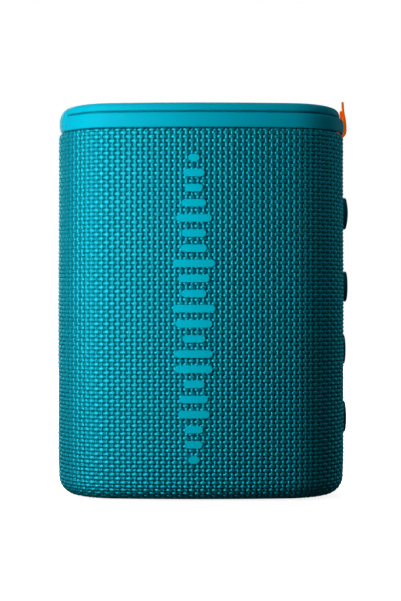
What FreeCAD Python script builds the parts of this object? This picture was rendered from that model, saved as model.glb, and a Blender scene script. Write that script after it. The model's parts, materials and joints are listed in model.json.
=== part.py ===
import FreeCAD, Part
import math
import os

# Portable fabric-covered loudspeaker, standing upright on its foot.
# Millimetres. Origin at the centre of the foot's underside, +Z up, front face towards -Y.

V = FreeCAD.Vector
X_AXIS = V(1, 0, 0)
Y_AXIS = V(0, 1, 0)
Z_AXIS = V(0, 0, 1)

# Driving dimensions: the plan outline is two shallow bows joined by round corners and short flat sides.
BODY_WIDTH = 88.0
BODY_DEPTH = 48.0
BODY_HEIGHT = 118.65
CORNER_RADIUS = 18.0
BOW_RADIUS = 300.0

# Shell: fabric over a two-part housing.
FABRIC_THICKNESS = 1.0
FABRIC_BOTTOM = 0.7
FABRIC_TOP = 110.8
FABRIC_BOTTOM_ROUND = 6.2
FABRIC_TOP_ROUND = 0.5
FABRIC_OPENING_INSET = 8.5
FIT_GAP = 0.05
HOUSING_INSET = FABRIC_THICKNESS + FIT_GAP
HOUSING_WALL = 2.05
HOUSING_BOTTOM = FABRIC_BOTTOM + FABRIC_THICKNESS + FIT_GAP
HOUSING_TOP = 110.6
HOUSING_LID = 2.2
SPLIT_Y = 8.0
SEAL_INSETS = (1.8, 2.4)
SEAL_HALF_WIDTH = 0.6
JOIN_X = 38.6
JOIN_HEIGHTS = (8.5, 104.0)
JOIN_HEAD_Y = 12.0

# Foot and base plate.
FOOT_INSET = 7.4
FOOT_EDGE_HEIGHT = 0.6
FOOT_EDGE_ROUND = 0.3
FOOT_GROOVE_PLACES = (-9, -3, 3, 9)
FOOT_GROOVE_WIDTH = 1.0
FOOT_GROOVE_DEPTH = 0.25
FOOT_GROOVE_REACH = 24.0
BASE_INSET = 8.7
BASE_BOTTOM = 0.9
BASE_SCREWS = [(30, 3.5), (-30, 3.5), (30, -9), (-30, -9)]

# Cap, carry loop and pull tab.
CAP_INSET = 1.15
CAP_ROUND = 2.0
CAP_GROOVE_HEIGHT = 0.45
CAP_WALL_INSET = 4.8
CAP_ROOF = 2.4
CAP_SCREWS = [(30, 6), (-30, 6), (30, -6), (-30, -6)]
STRAP_OUTER_INSET = -0.15
STRAP_INNER_INSET = 0.85
STRAP_BOTTOM = 111.0
STRAP_TOP = 115.3
STRAP_ROUND = 0.7
LOOP_HINGE_X = -24.0
LOOP_ANCHOR_X = -26.5
ANCHOR_INNER_INSET = 3.0
ANCHOR_HALF_WIDTH = 13.0
LUG_HALF_WIDTH = 9.0
LUG_OUTER_INSET = 0.2
LUG_INNER_INSET = 1.9
LUG_TOP_ROUND = 1.7
TAB_HALF_WIDTH = 4.5
TAB_BOTTOM = 110.95
TAB_TOP = 121.6

# Keys on the right side, all with their axis along X at y = 0.
KEYS = {
    "power": {"z": 87.1, "radius": 4.95, "proud": 1.4},
    "volume_up": {"z": 64.2, "radius": 4.75, "proud": 1.6},
    "volume_down": {"z": 44.5, "radius": 4.65, "proud": 1.0},
    "play": {"z": 23.4, "radius": 4.95, "proud": 1.15},
}
KEY_GAP = 0.3
KEY_FLANGE_X = 38.9
KEY_FLANGE_THICKNESS = 1.0
KEY_FLANGE_EXTRA = 1.3
KEY_RIM_ROUND = 0.35
KEY_DOME_RISE = 0.7
KEY_SYMBOL_THICKNESS = 2.0
KEY_SYMBOL_DEPTH = 0.3
KEY_SYMBOL_RISE = 0.4
SWITCH_BOARD_X = 35.2
SWITCH_BOARD_THICKNESS = 1.0
SWITCH_BOARD_HEIGHTS = (15.0, 100.0)
SWITCH_POST_HEIGHTS = (34.0, 75.5)
SWITCH_BODY_HEIGHT = 2.0
SWITCH_BODY_SIZE = 6.0
PLUNGER_RADIUS = 1.7
LIGHT_PIPE_RADIUS = 1.0
LIGHT_Z = 97.5

# Raised print on the front: a row of sound-level bars, level and centred on a line to the left of middle.
EMBLEM_BARS = 21
EMBLEM_LOW_Z = 12.9
EMBLEM_HIGH_Z = 101.9
EMBLEM_X = -2.1
EMBLEM_HALF_WIDTH = 6.6
EMBLEM_HALF_HEIGHT = 1.1
EMBLEM_PROUD = 0.5

# Sound drivers, on one axis along Y.
DRIVER_Z = 74.0
DRIVER_SEAT_Y = -17.0
DRIVER_BOSS_RADIUS = 35.0
DRIVER_RECESS_RADIUS = 31.5
DRIVER_FLANGE_RADIUS = 31.0
DRIVER_HOLE_RADIUS = 26.0
DRIVER_SCREW_CIRCLE = 29.0
FRONT_GRILLE_RADIUS = 32.5
RADIATOR_SEAT_Y = 17.0
RADIATOR_BOSS_RADIUS = 32.0
RADIATOR_RECESS_RADIUS = 28.5
RADIATOR_FRAME_RADIUS = 28.0
RADIATOR_HOLE_RADIUS = 23.4
RADIATOR_SCREW_CIRCLE = 26.0
REAR_GRILLE_RADIUS = 29.5
GRILLE_INSETS = (1.15, 1.75)
BOSS_DEPTH_Y = 15.0

# Electronics and battery.
BATTERY_RADIUS = 9.2
BATTERY_LENGTH = 65.0
BATTERY_Y = -3.0
BATTERY_Z = 21.0
BOARD_Z = 31.0
BOARD_THICKNESS = 1.2
BOARD_POSTS = [(30.5, -14.6), (-30.5, -14.6), (30.5, 11.0), (-30.5, 11.0)]

# Charging port at the back, behind a rubber flap hinged along its lower edge.
PORT_Z = 33.8
PORT_WIDTH = 24.0
PORT_HEIGHT = 12.0
PORT_CORNER = 2.8
FLAP_INSETS = (0.2, 1.8)
FLAP_START_Z = 31.2
FLAP_ANCHOR_TOP_Z = 29.2
USB_WIDTH = 8.94
USB_HEIGHT = 3.26
USB_LENGTH = 7.35
USB_MOUTH_Y = 19.9

HALF_WIDTH = BODY_WIDTH / 2
HALF_DEPTH = BODY_DEPTH / 2
CORNER_X = HALF_WIDTH - CORNER_RADIUS
BOW_LEAN = math.asin(CORNER_X / (BOW_RADIUS - CORNER_RADIUS))
CORNER_Y = (BOW_RADIUS - CORNER_RADIUS) * math.cos(BOW_LEAN) - (BOW_RADIUS - HALF_DEPTH)
FAR = 200.0


# ---------------------------------------------------------------- shape helpers

def outline(inset, z):
    """The body's plan outline, moved inward by inset, as a closed wire at height z."""
    corner = CORNER_RADIUS - inset
    side = HALF_WIDTH - inset
    front = HALF_DEPTH - inset
    join_x = CORNER_X + corner * math.sin(BOW_LEAN)
    join_y = CORNER_Y + corner * math.cos(BOW_LEAN)
    middle = (BOW_LEAN + math.pi / 2) / 2
    mid_x = CORNER_X + corner * math.sin(middle)
    mid_y = CORNER_Y + corner * math.cos(middle)
    edges = []
    for turn in (1, -1):
        bow_start = V(-turn * join_x, -turn * join_y, z)
        bow_middle = V(0, -turn * front, z)
        bow_end = V(turn * join_x, -turn * join_y, z)
        side_start = V(turn * side, -turn * CORNER_Y, z)
        side_end = V(turn * side, turn * CORNER_Y, z)
        next_bow = V(turn * join_x, turn * join_y, z)
        edges.append(Part.Arc(bow_start, bow_middle, bow_end).toShape())
        edges.append(Part.Arc(bow_end, V(turn * mid_x, -turn * mid_y, z), side_start).toShape())
        edges.append(Part.LineSegment(side_start, side_end).toShape())
        edges.append(Part.Arc(side_end, V(turn * mid_x, turn * mid_y, z), next_bow).toShape())
    return Part.Wire(edges)


def round_level(solid, height, radius):
    """Fillet the edges that lie flat at one height."""
    edges = []
    for edge in solid.Edges:
        if all(abs(corner.Z - height) < 1e-6 for corner in edge.Vertexes):
            edges.append(edge)
    return solid.makeFillet(radius, edges)


def slab(inset, bottom, top, bottom_round=0.0, top_round=0.0):
    """The plan outline raised into a block, with its lower or upper edge rounded."""
    solid = Part.Face(outline(inset, bottom)).extrude(V(0, 0, top - bottom))
    if bottom_round:
        solid = round_level(solid, bottom, bottom_round)
    if top_round:
        solid = round_level(solid, top, top_round)
    return solid


def band(outer_inset, inner_inset, bottom, top):
    """An upright wall that follows the plan outline between two insets."""
    return slab(outer_inset, bottom, top).cut(slab(inner_inset, bottom - 1, top + 1))


def block(x, y, z):
    """A box from three (low, high) pairs."""
    return Part.makeBox(x[1] - x[0], y[1] - y[0], z[1] - z[0], V(x[0], y[0], z[0]))


def rod_x(radius, x, y, z):
    return Part.makeCylinder(radius, x[1] - x[0], V(x[0], y, z), X_AXIS)


def rod_y(radius, x, y, z):
    return Part.makeCylinder(radius, y[1] - y[0], V(x, y[0], z), Y_AXIS)


def rod_z(radius, x, y, z):
    return Part.makeCylinder(radius, z[1] - z[0], V(x, y, z[0]), Z_AXIS)


def disc(radius, y):
    """A cylinder on the sound drivers' axis."""
    return rod_y(radius, 0, y, DRIVER_Z)


def hoop(outer_radius, inner_radius, y):
    """A ring on the sound drivers' axis."""
    return disc(outer_radius, y).cut(disc(inner_radius, (y[0] - 1, y[1] + 1)))


def turned(profile):
    """A solid of revolution on the sound drivers' axis, from (radius, y) points."""
    points = [V(radius, y, 0) for radius, y in profile]
    face = Part.Face(Part.makePolygon(points + [points[0]]))
    solid = face.revolve(V(0, 0, 0), Y_AXIS, 360)
    solid.translate(V(0, 0, DRIVER_Z))
    return solid


def half_roll(circle_radius, thickness_radii, y, direction):
    """Half of a hollow ring: the flexible roll of a surround, bulging towards direction along Y."""
    outer = Part.makeTorus(circle_radius, thickness_radii[1], V(0, y, DRIVER_Z), Y_AXIS)
    inner = Part.makeTorus(circle_radius, thickness_radii[0], V(0, y, DRIVER_Z), Y_AXIS)
    reach = circle_radius + thickness_radii[1] + 1
    if direction < 0:
        keep = disc(reach, (y - 5, y))
    else:
        keep = disc(reach, (y, y + 5))
    return outer.cut(inner).common(keep)


def around(count, circle_radius, start_degrees):
    """(x, z) places spread evenly on a circle about the drivers' axis."""
    places = []
    for step in range(count):
        angle = math.radians(start_degrees + 360.0 * step / count)
        places.append((circle_radius * math.cos(angle), DRIVER_Z + circle_radius * math.sin(angle)))
    return places


def port_prism(width, height, corner, y):
    """A round-cornered window through the back wall, centred on the charging port."""
    window = block((-width / 2, width / 2), y, (PORT_Z - height / 2, PORT_Z + height / 2))
    edges = []
    for edge in window.Edges:
        start, end = edge.Vertexes
        if abs(start.X - end.X) < 1e-6 and abs(start.Z - end.Z) < 1e-6:
            edges.append(edge)
    return window.makeFillet(corner, edges)


def wire_lead(points, radius):
    """A round lead along straight runs that are joined by tangent arcs as large as the runs allow."""
    route = [V(*point) for point in points]
    edges = []
    here = route[0]
    for before, corner, after in zip(route, route[1:], route[2:]):
        arriving = (corner - before).normalize()
        leaving = (after - corner).normalize()
        shorter = min((corner - before).Length, (after - corner).Length)
        setback = 0.45 * shorter
        turn = arriving.getAngle(leaving)
        arc_radius = setback / math.tan(turn / 2)
        arc_start = corner - arriving * setback
        arc_end = corner + leaving * setback
        inward = (leaving - arriving).normalize()
        sagitta = arc_radius / math.cos(turn / 2) - arc_radius
        arc_middle = corner + inward * sagitta
        edges.append(Part.LineSegment(here, arc_start).toShape())
        edges.append(Part.Arc(arc_start, arc_middle, arc_end).toShape())
        here = arc_end
    edges.append(Part.LineSegment(here, route[-1]).toShape())
    path = Part.Wire(edges)
    first_run = (route[1] - route[0]).normalize()
    section = Part.Wire(Part.makeCircle(radius, route[0], first_run))
    lead = path.makePipeShell([section], True, False)
    ratio = lead.Volume / (math.pi * radius ** 2 * path.Length)
    print("lead length %.1f, volume against section times length %.3f" % (path.Length, ratio))
    return lead


def screw(head_radius, head_height, shank_radius, shank_length, socket_radius=0.8):
    """A pan-head screw with a hexagon socket, head up on the +Z axis, shank below z = 0."""
    head = Part.makeCylinder(head_radius, head_height)
    head = round_level(head, head_height, head_height * 0.35)
    shank = Part.makeCylinder(shank_radius, shank_length, V(0, 0, -shank_length))
    corners = []
    for step in range(6):
        angle = math.radians(60.0 * step)
        corners.append(V(socket_radius * math.cos(angle), socket_radius * math.sin(angle), 0))
    socket = Part.Face(Part.makePolygon(corners + [corners[0]])).extrude(V(0, 0, head_height))
    socket.translate(V(0, 0, head_height * 0.4))
    return head.fuse(shank).cut(socket)


def placed(shape, position, direction):
    """A copy of a shape made along +Z, turned to point along direction and moved to position."""
    copy = shape.copy()
    copy.Placement = FreeCAD.Placement(position, FreeCAD.Rotation(Z_AXIS, direction))
    return copy


# ---------------------------------------------------------------- covering and shell

def make_fabric_sleeve():
    outer = slab(0, FABRIC_BOTTOM, FABRIC_TOP, FABRIC_BOTTOM_ROUND, FABRIC_TOP_ROUND)
    inner_bottom = FABRIC_BOTTOM + FABRIC_THICKNESS
    inner_round = FABRIC_BOTTOM_ROUND - FABRIC_THICKNESS
    inner = slab(FABRIC_THICKNESS, inner_bottom, FABRIC_TOP + 5, inner_round)
    sleeve = outer.cut(inner)
    sleeve = sleeve.cut(slab(FABRIC_OPENING_INSET, -1, 5))
    for key in KEYS.values():
        sleeve = sleeve.cut(rod_x(key["radius"] + KEY_GAP, (30, 60), 0, key["z"]))
    sleeve = sleeve.cut(rod_x(LIGHT_PIPE_RADIUS + 0.1, (30, 60), 0, LIGHT_Z))
    return sleeve.cut(port_prism(PORT_WIDTH + 0.8, PORT_HEIGHT + 0.8, PORT_CORNER + 0.4, (15, 30)))


def make_front_emblem():
    """A raised row of sound-level bars, printed on the front of the fabric."""
    skin = slab(-EMBLEM_PROUD, 5, 115).cut(slab(-0.02, 4, 116))
    bars = []
    for step in range(EMBLEM_BARS):
        share = step / (EMBLEM_BARS - 1)
        z = EMBLEM_LOW_Z + share * (EMBLEM_HIGH_Z - EMBLEM_LOW_Z)
        swell = math.sin(math.pi * share) ** 0.6
        ripple = 0.5 + 0.5 * math.cos(2 * math.pi * step * 0.31)
        half_length = EMBLEM_HALF_WIDTH * (0.25 + 0.75 * swell * (0.35 + 0.65 * ripple))
        bar = block((-half_length, half_length), (-30, -15), (-EMBLEM_HALF_HEIGHT, EMBLEM_HALF_HEIGHT))
        ends = [edge for edge in bar.Edges if abs(edge.Vertexes[0].Y - edge.Vertexes[-1].Y) > 1]
        bar = bar.makeFillet(EMBLEM_HALF_HEIGHT * 0.98, ends)
        bar.translate(V(EMBLEM_X, 0, z))
        bars.append(bar.common(skin))
    return Part.makeCompound(bars)


def make_grille(boundary_radius, facing):
    """A bowed guard plate with level slots, set into the housing."""
    y = (-30, -10) if facing < 0 else (10, 30)
    sheet = band(GRILLE_INSETS[0], GRILLE_INSETS[1], 30, 108)
    plate = sheet.common(disc(boundary_radius, y))
    slots = []
    slot_pitch = 5.0
    slot_height = 3.0
    rim = 3.0
    rows = int((boundary_radius - rim) / slot_pitch)
    for row in range(-rows, rows + 1):
        level = row * slot_pitch
        reach = math.sqrt(max((boundary_radius - rim) ** 2 - (abs(level) + slot_height / 2) ** 2, 0))
        if reach < 4:
            continue
        low = DRIVER_Z + level - slot_height / 2
        slots.append(block((-reach, -1), y, (low, low + slot_height)))
        slots.append(block((1, reach), y, (low, low + slot_height)))
    return plate.cut(Part.makeCompound(slots))


def make_housing():
    """The sealed box that carries everything, before it is parted into a front and a rear half."""
    outer_round = FABRIC_BOTTOM_ROUND - HOUSING_INSET
    outer = slab(HOUSING_INSET, HOUSING_BOTTOM, HOUSING_TOP, outer_round)
    inner_inset = HOUSING_INSET + HOUSING_WALL
    floor = HOUSING_BOTTOM + HOUSING_WALL
    cavity = slab(inner_inset, floor, HOUSING_TOP - HOUSING_LID, outer_round - HOUSING_WALL)
    box = outer.cut(cavity)
    port_window = port_prism(PORT_WIDTH + 0.6, PORT_HEIGHT + 0.6, PORT_CORNER + 0.3, (15, 30))
    front_boss = disc(DRIVER_BOSS_RADIUS, (-30, -BOSS_DEPTH_Y))
    rear_boss = disc(RADIATOR_BOSS_RADIUS, (BOSS_DEPTH_Y, 30))
    inside = [front_boss, rear_boss]
    for x, y in BOARD_POSTS:
        inside.append(rod_z(2.2, x, y, (HOUSING_BOTTOM, BOARD_Z)))
    for x in (-JOIN_X, JOIN_X):
        for z in JOIN_HEIGHTS:
            inside.append(rod_y(2.6, x, (-4, 30), z))
    for z in SWITCH_POST_HEIGHTS:
        inside.append(rod_x(2.0, (SWITCH_BOARD_X + SWITCH_BOARD_THICKNESS + FIT_GAP, 42), 0, z))
    for feature in inside:
        box = box.fuse(feature.common(outer))
    cuts = [
        disc(DRIVER_RECESS_RADIUS, (-30, DRIVER_SEAT_Y)),
        disc(DRIVER_HOLE_RADIUS, (-30, -BOSS_DEPTH_Y + 1)),
        disc(RADIATOR_RECESS_RADIUS, (RADIATOR_SEAT_Y, 30)),
        disc(RADIATOR_HOLE_RADIUS, (BOSS_DEPTH_Y - 1, 30)),
        disc(FRONT_GRILLE_RADIUS + 0.3, (-30, -10)).cut(slab(1.9, 20, 115)),
        disc(REAR_GRILLE_RADIUS + 0.3, (10, 30)).cut(slab(1.9, 20, 115)),
        port_window.cut(slab(1.9, 20, 60)),
        block((-4.9, 4.9), (15, 30), (32.1, 35.9)),
        rod_x(LIGHT_PIPE_RADIUS + FIT_GAP, (30, 50), 0, LIGHT_Z),
    ]
    for key in KEYS.values():
        cuts.append(rod_x(key["radius"] + KEY_GAP, (39, 60), 0, key["z"]))
    for x, z in around(4, DRIVER_SCREW_CIRCLE, 45):
        cuts.append(rod_y(1.05, x, (DRIVER_SEAT_Y - 1, -BOSS_DEPTH_Y - 0.3), z))
    for x, z in around(4, RADIATOR_SCREW_CIRCLE, 45):
        cuts.append(rod_y(1.05, x, (BOSS_DEPTH_Y + 0.3, RADIATOR_SEAT_Y + 1), z))
    for x, y in BOARD_POSTS:
        cuts.append(rod_z(1.0, x, y, (BOARD_Z - 6, BOARD_Z + 1)))
    for x, y in BASE_SCREWS:
        cuts.append(rod_z(0.95, x, y, (0, 3.6)))
    for x, y in CAP_SCREWS:
        cuts.append(rod_z(1.2, x, y, (105, 115)))
    for x in (-JOIN_X, JOIN_X):
        for z in JOIN_HEIGHTS:
            cuts.append(rod_y(2.2, x, (JOIN_HEAD_Y, 30), z))
            cuts.append(rod_y(1.25, x, (SPLIT_Y, 30), z))
            cuts.append(rod_y(1.05, x, (-2, 30), z))
    for z in SWITCH_POST_HEIGHTS:
        cuts.append(rod_x(1.0, (SWITCH_BOARD_X, 40), 0, z))
    for cut in cuts:
        box = box.cut(cut)
    return box.removeSplitter()


def make_housing_seal():
    outer_inset, inner_inset = SEAL_INSETS
    outer_step = outer_inset - HOUSING_INSET
    inner_step = inner_inset - HOUSING_INSET
    corner = FABRIC_BOTTOM_ROUND - HOUSING_INSET
    outer = slab(outer_inset, HOUSING_BOTTOM + outer_step, HOUSING_TOP - outer_step, corner - outer_step)
    inner = slab(inner_inset, HOUSING_BOTTOM + inner_step, HOUSING_TOP - inner_step, corner - inner_step)
    slice_box = block((-FAR, FAR), (SPLIT_Y - SEAL_HALF_WIDTH, SPLIT_Y + SEAL_HALF_WIDTH), (-1, FAR))
    return outer.cut(inner).common(slice_box)


# ---------------------------------------------------------------- foot

def make_foot_pad():
    """A rubber pad whose rim covers the fabric's hem, with shallow grip grooves underneath."""
    rim = slab(FOOT_INSET, 0, FOOT_EDGE_HEIGHT, FOOT_EDGE_ROUND)
    pad = rim.fuse(slab(BASE_INSET + 0.2, 0.1, BASE_BOTTOM))
    reach = (-FOOT_GROOVE_REACH, FOOT_GROOVE_REACH)
    for y in FOOT_GROOVE_PLACES:
        across = (y - FOOT_GROOVE_WIDTH / 2, y + FOOT_GROOVE_WIDTH / 2)
        pad = pad.cut(block(reach, across, (-1, FOOT_GROOVE_DEPTH)))
    return pad


def make_base_plate():
    plate = slab(BASE_INSET, BASE_BOTTOM, HOUSING_BOTTOM - FIT_GAP)
    for x, y in BASE_SCREWS:
        plate = plate.cut(rod_z(1.8, x, y, (0, BASE_BOTTOM + 0.5)))
        plate = plate.cut(rod_z(1.1, x, y, (0, 5)))
    return plate


# ---------------------------------------------------------------- cap, loop and tab

def make_top_cap():
    """The lid above the fabric, with a lug over the carry loop's held end and a notch for the pull tab."""
    bottom = HOUSING_TOP + FIT_GAP
    cap = slab(CAP_INSET, bottom, BODY_HEIGHT, 0, CAP_ROUND)
    groove = band(CAP_INSET - 1, CAP_INSET + 0.3, STRAP_TOP, STRAP_TOP + CAP_GROOVE_HEIGHT)
    cap = cap.cut(groove)
    anchor_half = ANCHOR_HALF_WIDTH + 0.2
    anchor_room = band(-2, ANCHOR_INNER_INSET + 0.2, bottom - 1, STRAP_TOP + 0.2)
    anchor_room = anchor_room.common(block((-60, -30), (-anchor_half, anchor_half), (0, FAR)))
    cap = cap.cut(anchor_room)
    lug_top = BODY_HEIGHT - CAP_ROUND
    lug = slab(LUG_OUTER_INSET, STRAP_BOTTOM, lug_top, 0, LUG_TOP_ROUND)
    lug = lug.cut(slab(LUG_INNER_INSET, STRAP_BOTTOM - 1, STRAP_TOP + 0.2))
    lug = lug.common(block((-60, -30), (-LUG_HALF_WIDTH, LUG_HALF_WIDTH), (0, FAR)))
    cap = cap.fuse(lug)
    tab_half = TAB_HALF_WIDTH + 0.7
    cap = cap.cut(block((HALF_WIDTH - 2.4, 60), (-tab_half, tab_half), (0, FAR)))
    hollow = slab(CAP_WALL_INSET, bottom - 1, BODY_HEIGHT - CAP_ROOF)
    for x, y in CAP_SCREWS:
        hollow = hollow.cut(rod_z(3.0, x, y, (0, FAR)))
    cap = cap.cut(hollow)
    for x, y in CAP_SCREWS:
        cap = cap.cut(rod_z(1.05, x, y, (0, HOUSING_TOP + 4.5)))
    return cap.removeSplitter()


def make_strap():
    """The carry strap's full ring, with a rounded outer face."""
    ring = slab(STRAP_OUTER_INSET, STRAP_BOTTOM, STRAP_TOP, STRAP_ROUND, STRAP_ROUND)
    return ring.cut(slab(STRAP_INNER_INSET, STRAP_BOTTOM - 1, STRAP_TOP + 1))


def make_loop_anchor():
    """The held end of the strap, thinned where it passes behind the cap's lug."""
    held = make_strap().common(block((-60, LOOP_ANCHOR_X), (-40, 40), (0, FAR)))
    thick = slab(0.4, STRAP_BOTTOM, STRAP_TOP).cut(slab(ANCHOR_INNER_INSET, STRAP_BOTTOM - 1, STRAP_TOP + 1))
    thick = thick.common(block((-60, -30), (-ANCHOR_HALF_WIDTH, ANCHOR_HALF_WIDTH), (0, FAR)))
    pocket = slab(-2, 100, 120).cut(slab(LUG_INNER_INSET + 0.15, 99, 121))
    pocket = pocket.common(block((-60, -30), (-LUG_HALF_WIDTH - 0.3, LUG_HALF_WIDTH + 0.3), (0, FAR)))
    return held.fuse(thick).cut(pocket).removeSplitter()


def make_carry_loop():
    """The part of the strap that lifts, rounded off at its two bending places."""
    strap = make_strap()
    moving = strap.common(block((LOOP_HINGE_X, 60), (-40, 40), (0, FAR)))
    middle_z = (STRAP_BOTTOM + STRAP_TOP) / 2
    half_height = (STRAP_TOP - STRAP_BOTTOM) / 2
    rounding = Part.makeCylinder(half_height, 80, V(LOOP_HINGE_X, -40, middle_z), Y_AXIS)
    ends = strap.common(rounding)
    loop = moving.fuse(ends)
    tab_half = TAB_HALF_WIDTH + 0.4
    loop = loop.cut(block((30, 60), (-tab_half, tab_half), (0, STRAP_BOTTOM + STRAP_ROUND)))
    return loop.removeSplitter()


def make_pull_tab():
    """A folded ribbon round the strap, sewn together above it."""
    inner = HALF_WIDTH - 1.5
    outer = HALF_WIDTH + 1.35
    outer_layer = block((HALF_WIDTH + 0.3, outer), (-TAB_HALF_WIDTH, TAB_HALF_WIDTH), (TAB_BOTTOM, TAB_TOP))
    under_run = block((inner, outer), (-TAB_HALF_WIDTH, TAB_HALF_WIDTH), (TAB_BOTTOM, TAB_BOTTOM + 0.65))
    inner_points = [
        V(inner, -TAB_HALF_WIDTH, TAB_BOTTOM),
        V(inner + 0.5, -TAB_HALF_WIDTH, TAB_BOTTOM),
        V(inner + 0.5, -TAB_HALF_WIDTH, 115.6),
        V(HALF_WIDTH + 0.3, -TAB_HALF_WIDTH, 116.9),
        V(HALF_WIDTH + 0.3, -TAB_HALF_WIDTH, 119.8),
        V(HALF_WIDTH - 0.25, -TAB_HALF_WIDTH, 119.8),
        V(HALF_WIDTH - 0.25, -TAB_HALF_WIDTH, 117.2),
        V(inner, -TAB_HALF_WIDTH, 115.9),
    ]
    inner_face = Part.Face(Part.makePolygon(inner_points + [inner_points[0]]))
    inner_layer = inner_face.extrude(V(0, 2 * TAB_HALF_WIDTH, 0))
    return outer_layer.fuse(under_run).fuse(inner_layer).removeSplitter()


# ---------------------------------------------------------------- keys

def key_symbol(name):
    """The cutting or raised shape on a key's face, in the YZ plane, rising from x = 0."""
    deep = (0, KEY_SYMBOL_THICKNESS)
    through = (-1, KEY_SYMBOL_THICKNESS + 1)
    if name == "power":
        ring = rod_x(1.9, deep, 0, 0).cut(rod_x(1.5, through, 0, 0))
        ring = ring.cut(block(through, (-0.6, 0.6), (0, 3)))
        return ring.fuse(block(deep, (-0.2, 0.2), (0.3, 2.3)))
    if name == "volume_up":
        level = block(deep, (-1.8, 1.8), (-0.25, 0.25))
        return level.fuse(block(deep, (-0.25, 0.25), (-1.8, 1.8)))
    if name == "volume_down":
        return block(deep, (-1.8, 1.8), (-0.25, 0.25))
    corners = [V(0, 0.95, -0.95), V(0, 0.95, 0.95), V(0, -0.95, 0)]
    return Part.Face(Part.makePolygon(corners + [corners[0]])).extrude(V(KEY_SYMBOL_THICKNESS, 0, 0))


def make_key(name):
    """A round key with a hidden flange that stops it from falling out."""
    key = KEYS[name]
    z = key["z"]
    face_x = HALF_WIDTH + key["proud"]
    body = rod_x(key["radius"], (KEY_FLANGE_X, face_x), 0, z)
    if name == "power":
        sphere_radius = (key["radius"] ** 2 + KEY_DOME_RISE ** 2) / (2 * KEY_DOME_RISE)
        dome = Part.makeSphere(sphere_radius, V(face_x + KEY_DOME_RISE - sphere_radius, 0, z))
        dome = dome.common(rod_x(key["radius"], (face_x - 0.5, face_x + 2), 0, z))
        body = body.fuse(dome)
        face_x = face_x + KEY_DOME_RISE
    flange_radius = key["radius"] + KEY_FLANGE_EXTRA
    flange = rod_x(flange_radius, (KEY_FLANGE_X, KEY_FLANGE_X + KEY_FLANGE_THICKNESS), 0, z)
    body = body.fuse(flange).removeSplitter()
    rim_edges = []
    for edge in body.Edges:
        at_rim = abs(edge.BoundBox.ZLength - 2 * key["radius"]) < 0.05
        if at_rim and edge.BoundBox.XMin > HALF_WIDTH + 0.5:
            rim_edges.append(edge)
    body = body.makeFillet(KEY_RIM_ROUND, rim_edges)
    symbol = key_symbol(name)
    if name == "play":
        symbol.translate(V(face_x + KEY_SYMBOL_RISE - KEY_SYMBOL_THICKNESS, 0, z))
        return body.fuse(symbol).removeSplitter()
    symbol.translate(V(face_x - KEY_SYMBOL_DEPTH, 0, z))
    return body.cut(symbol)


def make_plunger(name):
    return rod_x(PLUNGER_RADIUS, (KEY_FLANGE_X - 1.3, KEY_FLANGE_X), 0, KEYS[name]["z"])


def make_key_seals():
    rings = []
    for key in KEYS.values():
        x = (KEY_FLANGE_X + KEY_FLANGE_THICKNESS + 0.1, HALF_WIDTH - HOUSING_INSET - HOUSING_WALL - 0.1)
        ring = rod_x(key["radius"] + KEY_FLANGE_EXTRA, x, 0, key["z"])
        rings.append(ring.cut(rod_x(key["radius"] + KEY_GAP, (30, 60), 0, key["z"])))
    return Part.makeCompound(rings)


def make_tact_switches():
    switches = []
    low_x = SWITCH_BOARD_X + SWITCH_BOARD_THICKNESS
    half = SWITCH_BODY_SIZE / 2
    for key in KEYS.values():
        z = key["z"]
        body = block((low_x, low_x + SWITCH_BODY_HEIGHT), (-half, half), (z - half, z + half))
        switches.append(body.cut(rod_x(PLUNGER_RADIUS + 0.2, (low_x + 0.8, 60), 0, z)))
    return Part.makeCompound(switches)


def make_switch_board():
    low_x = SWITCH_BOARD_X
    board = block((low_x, low_x + SWITCH_BOARD_THICKNESS), (-6, 6), SWITCH_BOARD_HEIGHTS)
    for z in SWITCH_POST_HEIGHTS:
        board = board.cut(rod_x(1.2, (low_x - 1, low_x + 3), 0, z))
    return board


# ---------------------------------------------------------------- charging port

def make_key_ribbon():
    """The flat flexible lead between the main board's side connector and the switch board."""
    width = (-6.0, -2.4)
    level = 34.6
    thickness = 0.2
    flat = block((32.95, SWITCH_BOARD_X), width, (level, level + thickness))
    upright = block((SWITCH_BOARD_X - thickness, SWITCH_BOARD_X), width, (level, level + 6))
    return flat.fuse(upright).removeSplitter()


def make_port_flap():
    """The opening part of the rubber flap, with the plug that fills the port's window."""
    plate = port_prism(PORT_WIDTH, PORT_HEIGHT, PORT_CORNER, (15, 30))
    plate = plate.common(band(FLAP_INSETS[0], FLAP_INSETS[1], 20, 60))
    plate = plate.common(block((-20, 20), (15, 30), (FLAP_START_Z, 60)))
    plug = block((-4.2, 4.2), (20.3, HALF_DEPTH - FLAP_INSETS[1] + 0.6), (32.5, 35.1))
    flap_top = PORT_Z + PORT_HEIGHT / 2
    lip = block((-4, 4), (22.6, HALF_DEPTH + 0.3), (flap_top - 1.2, flap_top - 0.2))
    return plate.fuse(plug).fuse(lip).removeSplitter()


def make_port_flap_anchor():
    plate = port_prism(PORT_WIDTH, PORT_HEIGHT, PORT_CORNER, (15, 30))
    plate = plate.common(band(FLAP_INSETS[0], FLAP_INSETS[1], 20, 60))
    return plate.common(block((-20, 20), (15, 30), (0, FLAP_ANCHOR_TOP_Z)))


def rounded_bar(width, height, y, z):
    """A flat bar along Y whose short sides are half round, as on a reversible plug."""
    radius = height / 2
    core = block((-width / 2 + radius, width / 2 - radius), y, (z - radius, z + radius))
    for side in (-1, 1):
        core = core.fuse(rod_y(radius, side * (width / 2 - radius), y, z))
    return core.removeSplitter()


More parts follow.
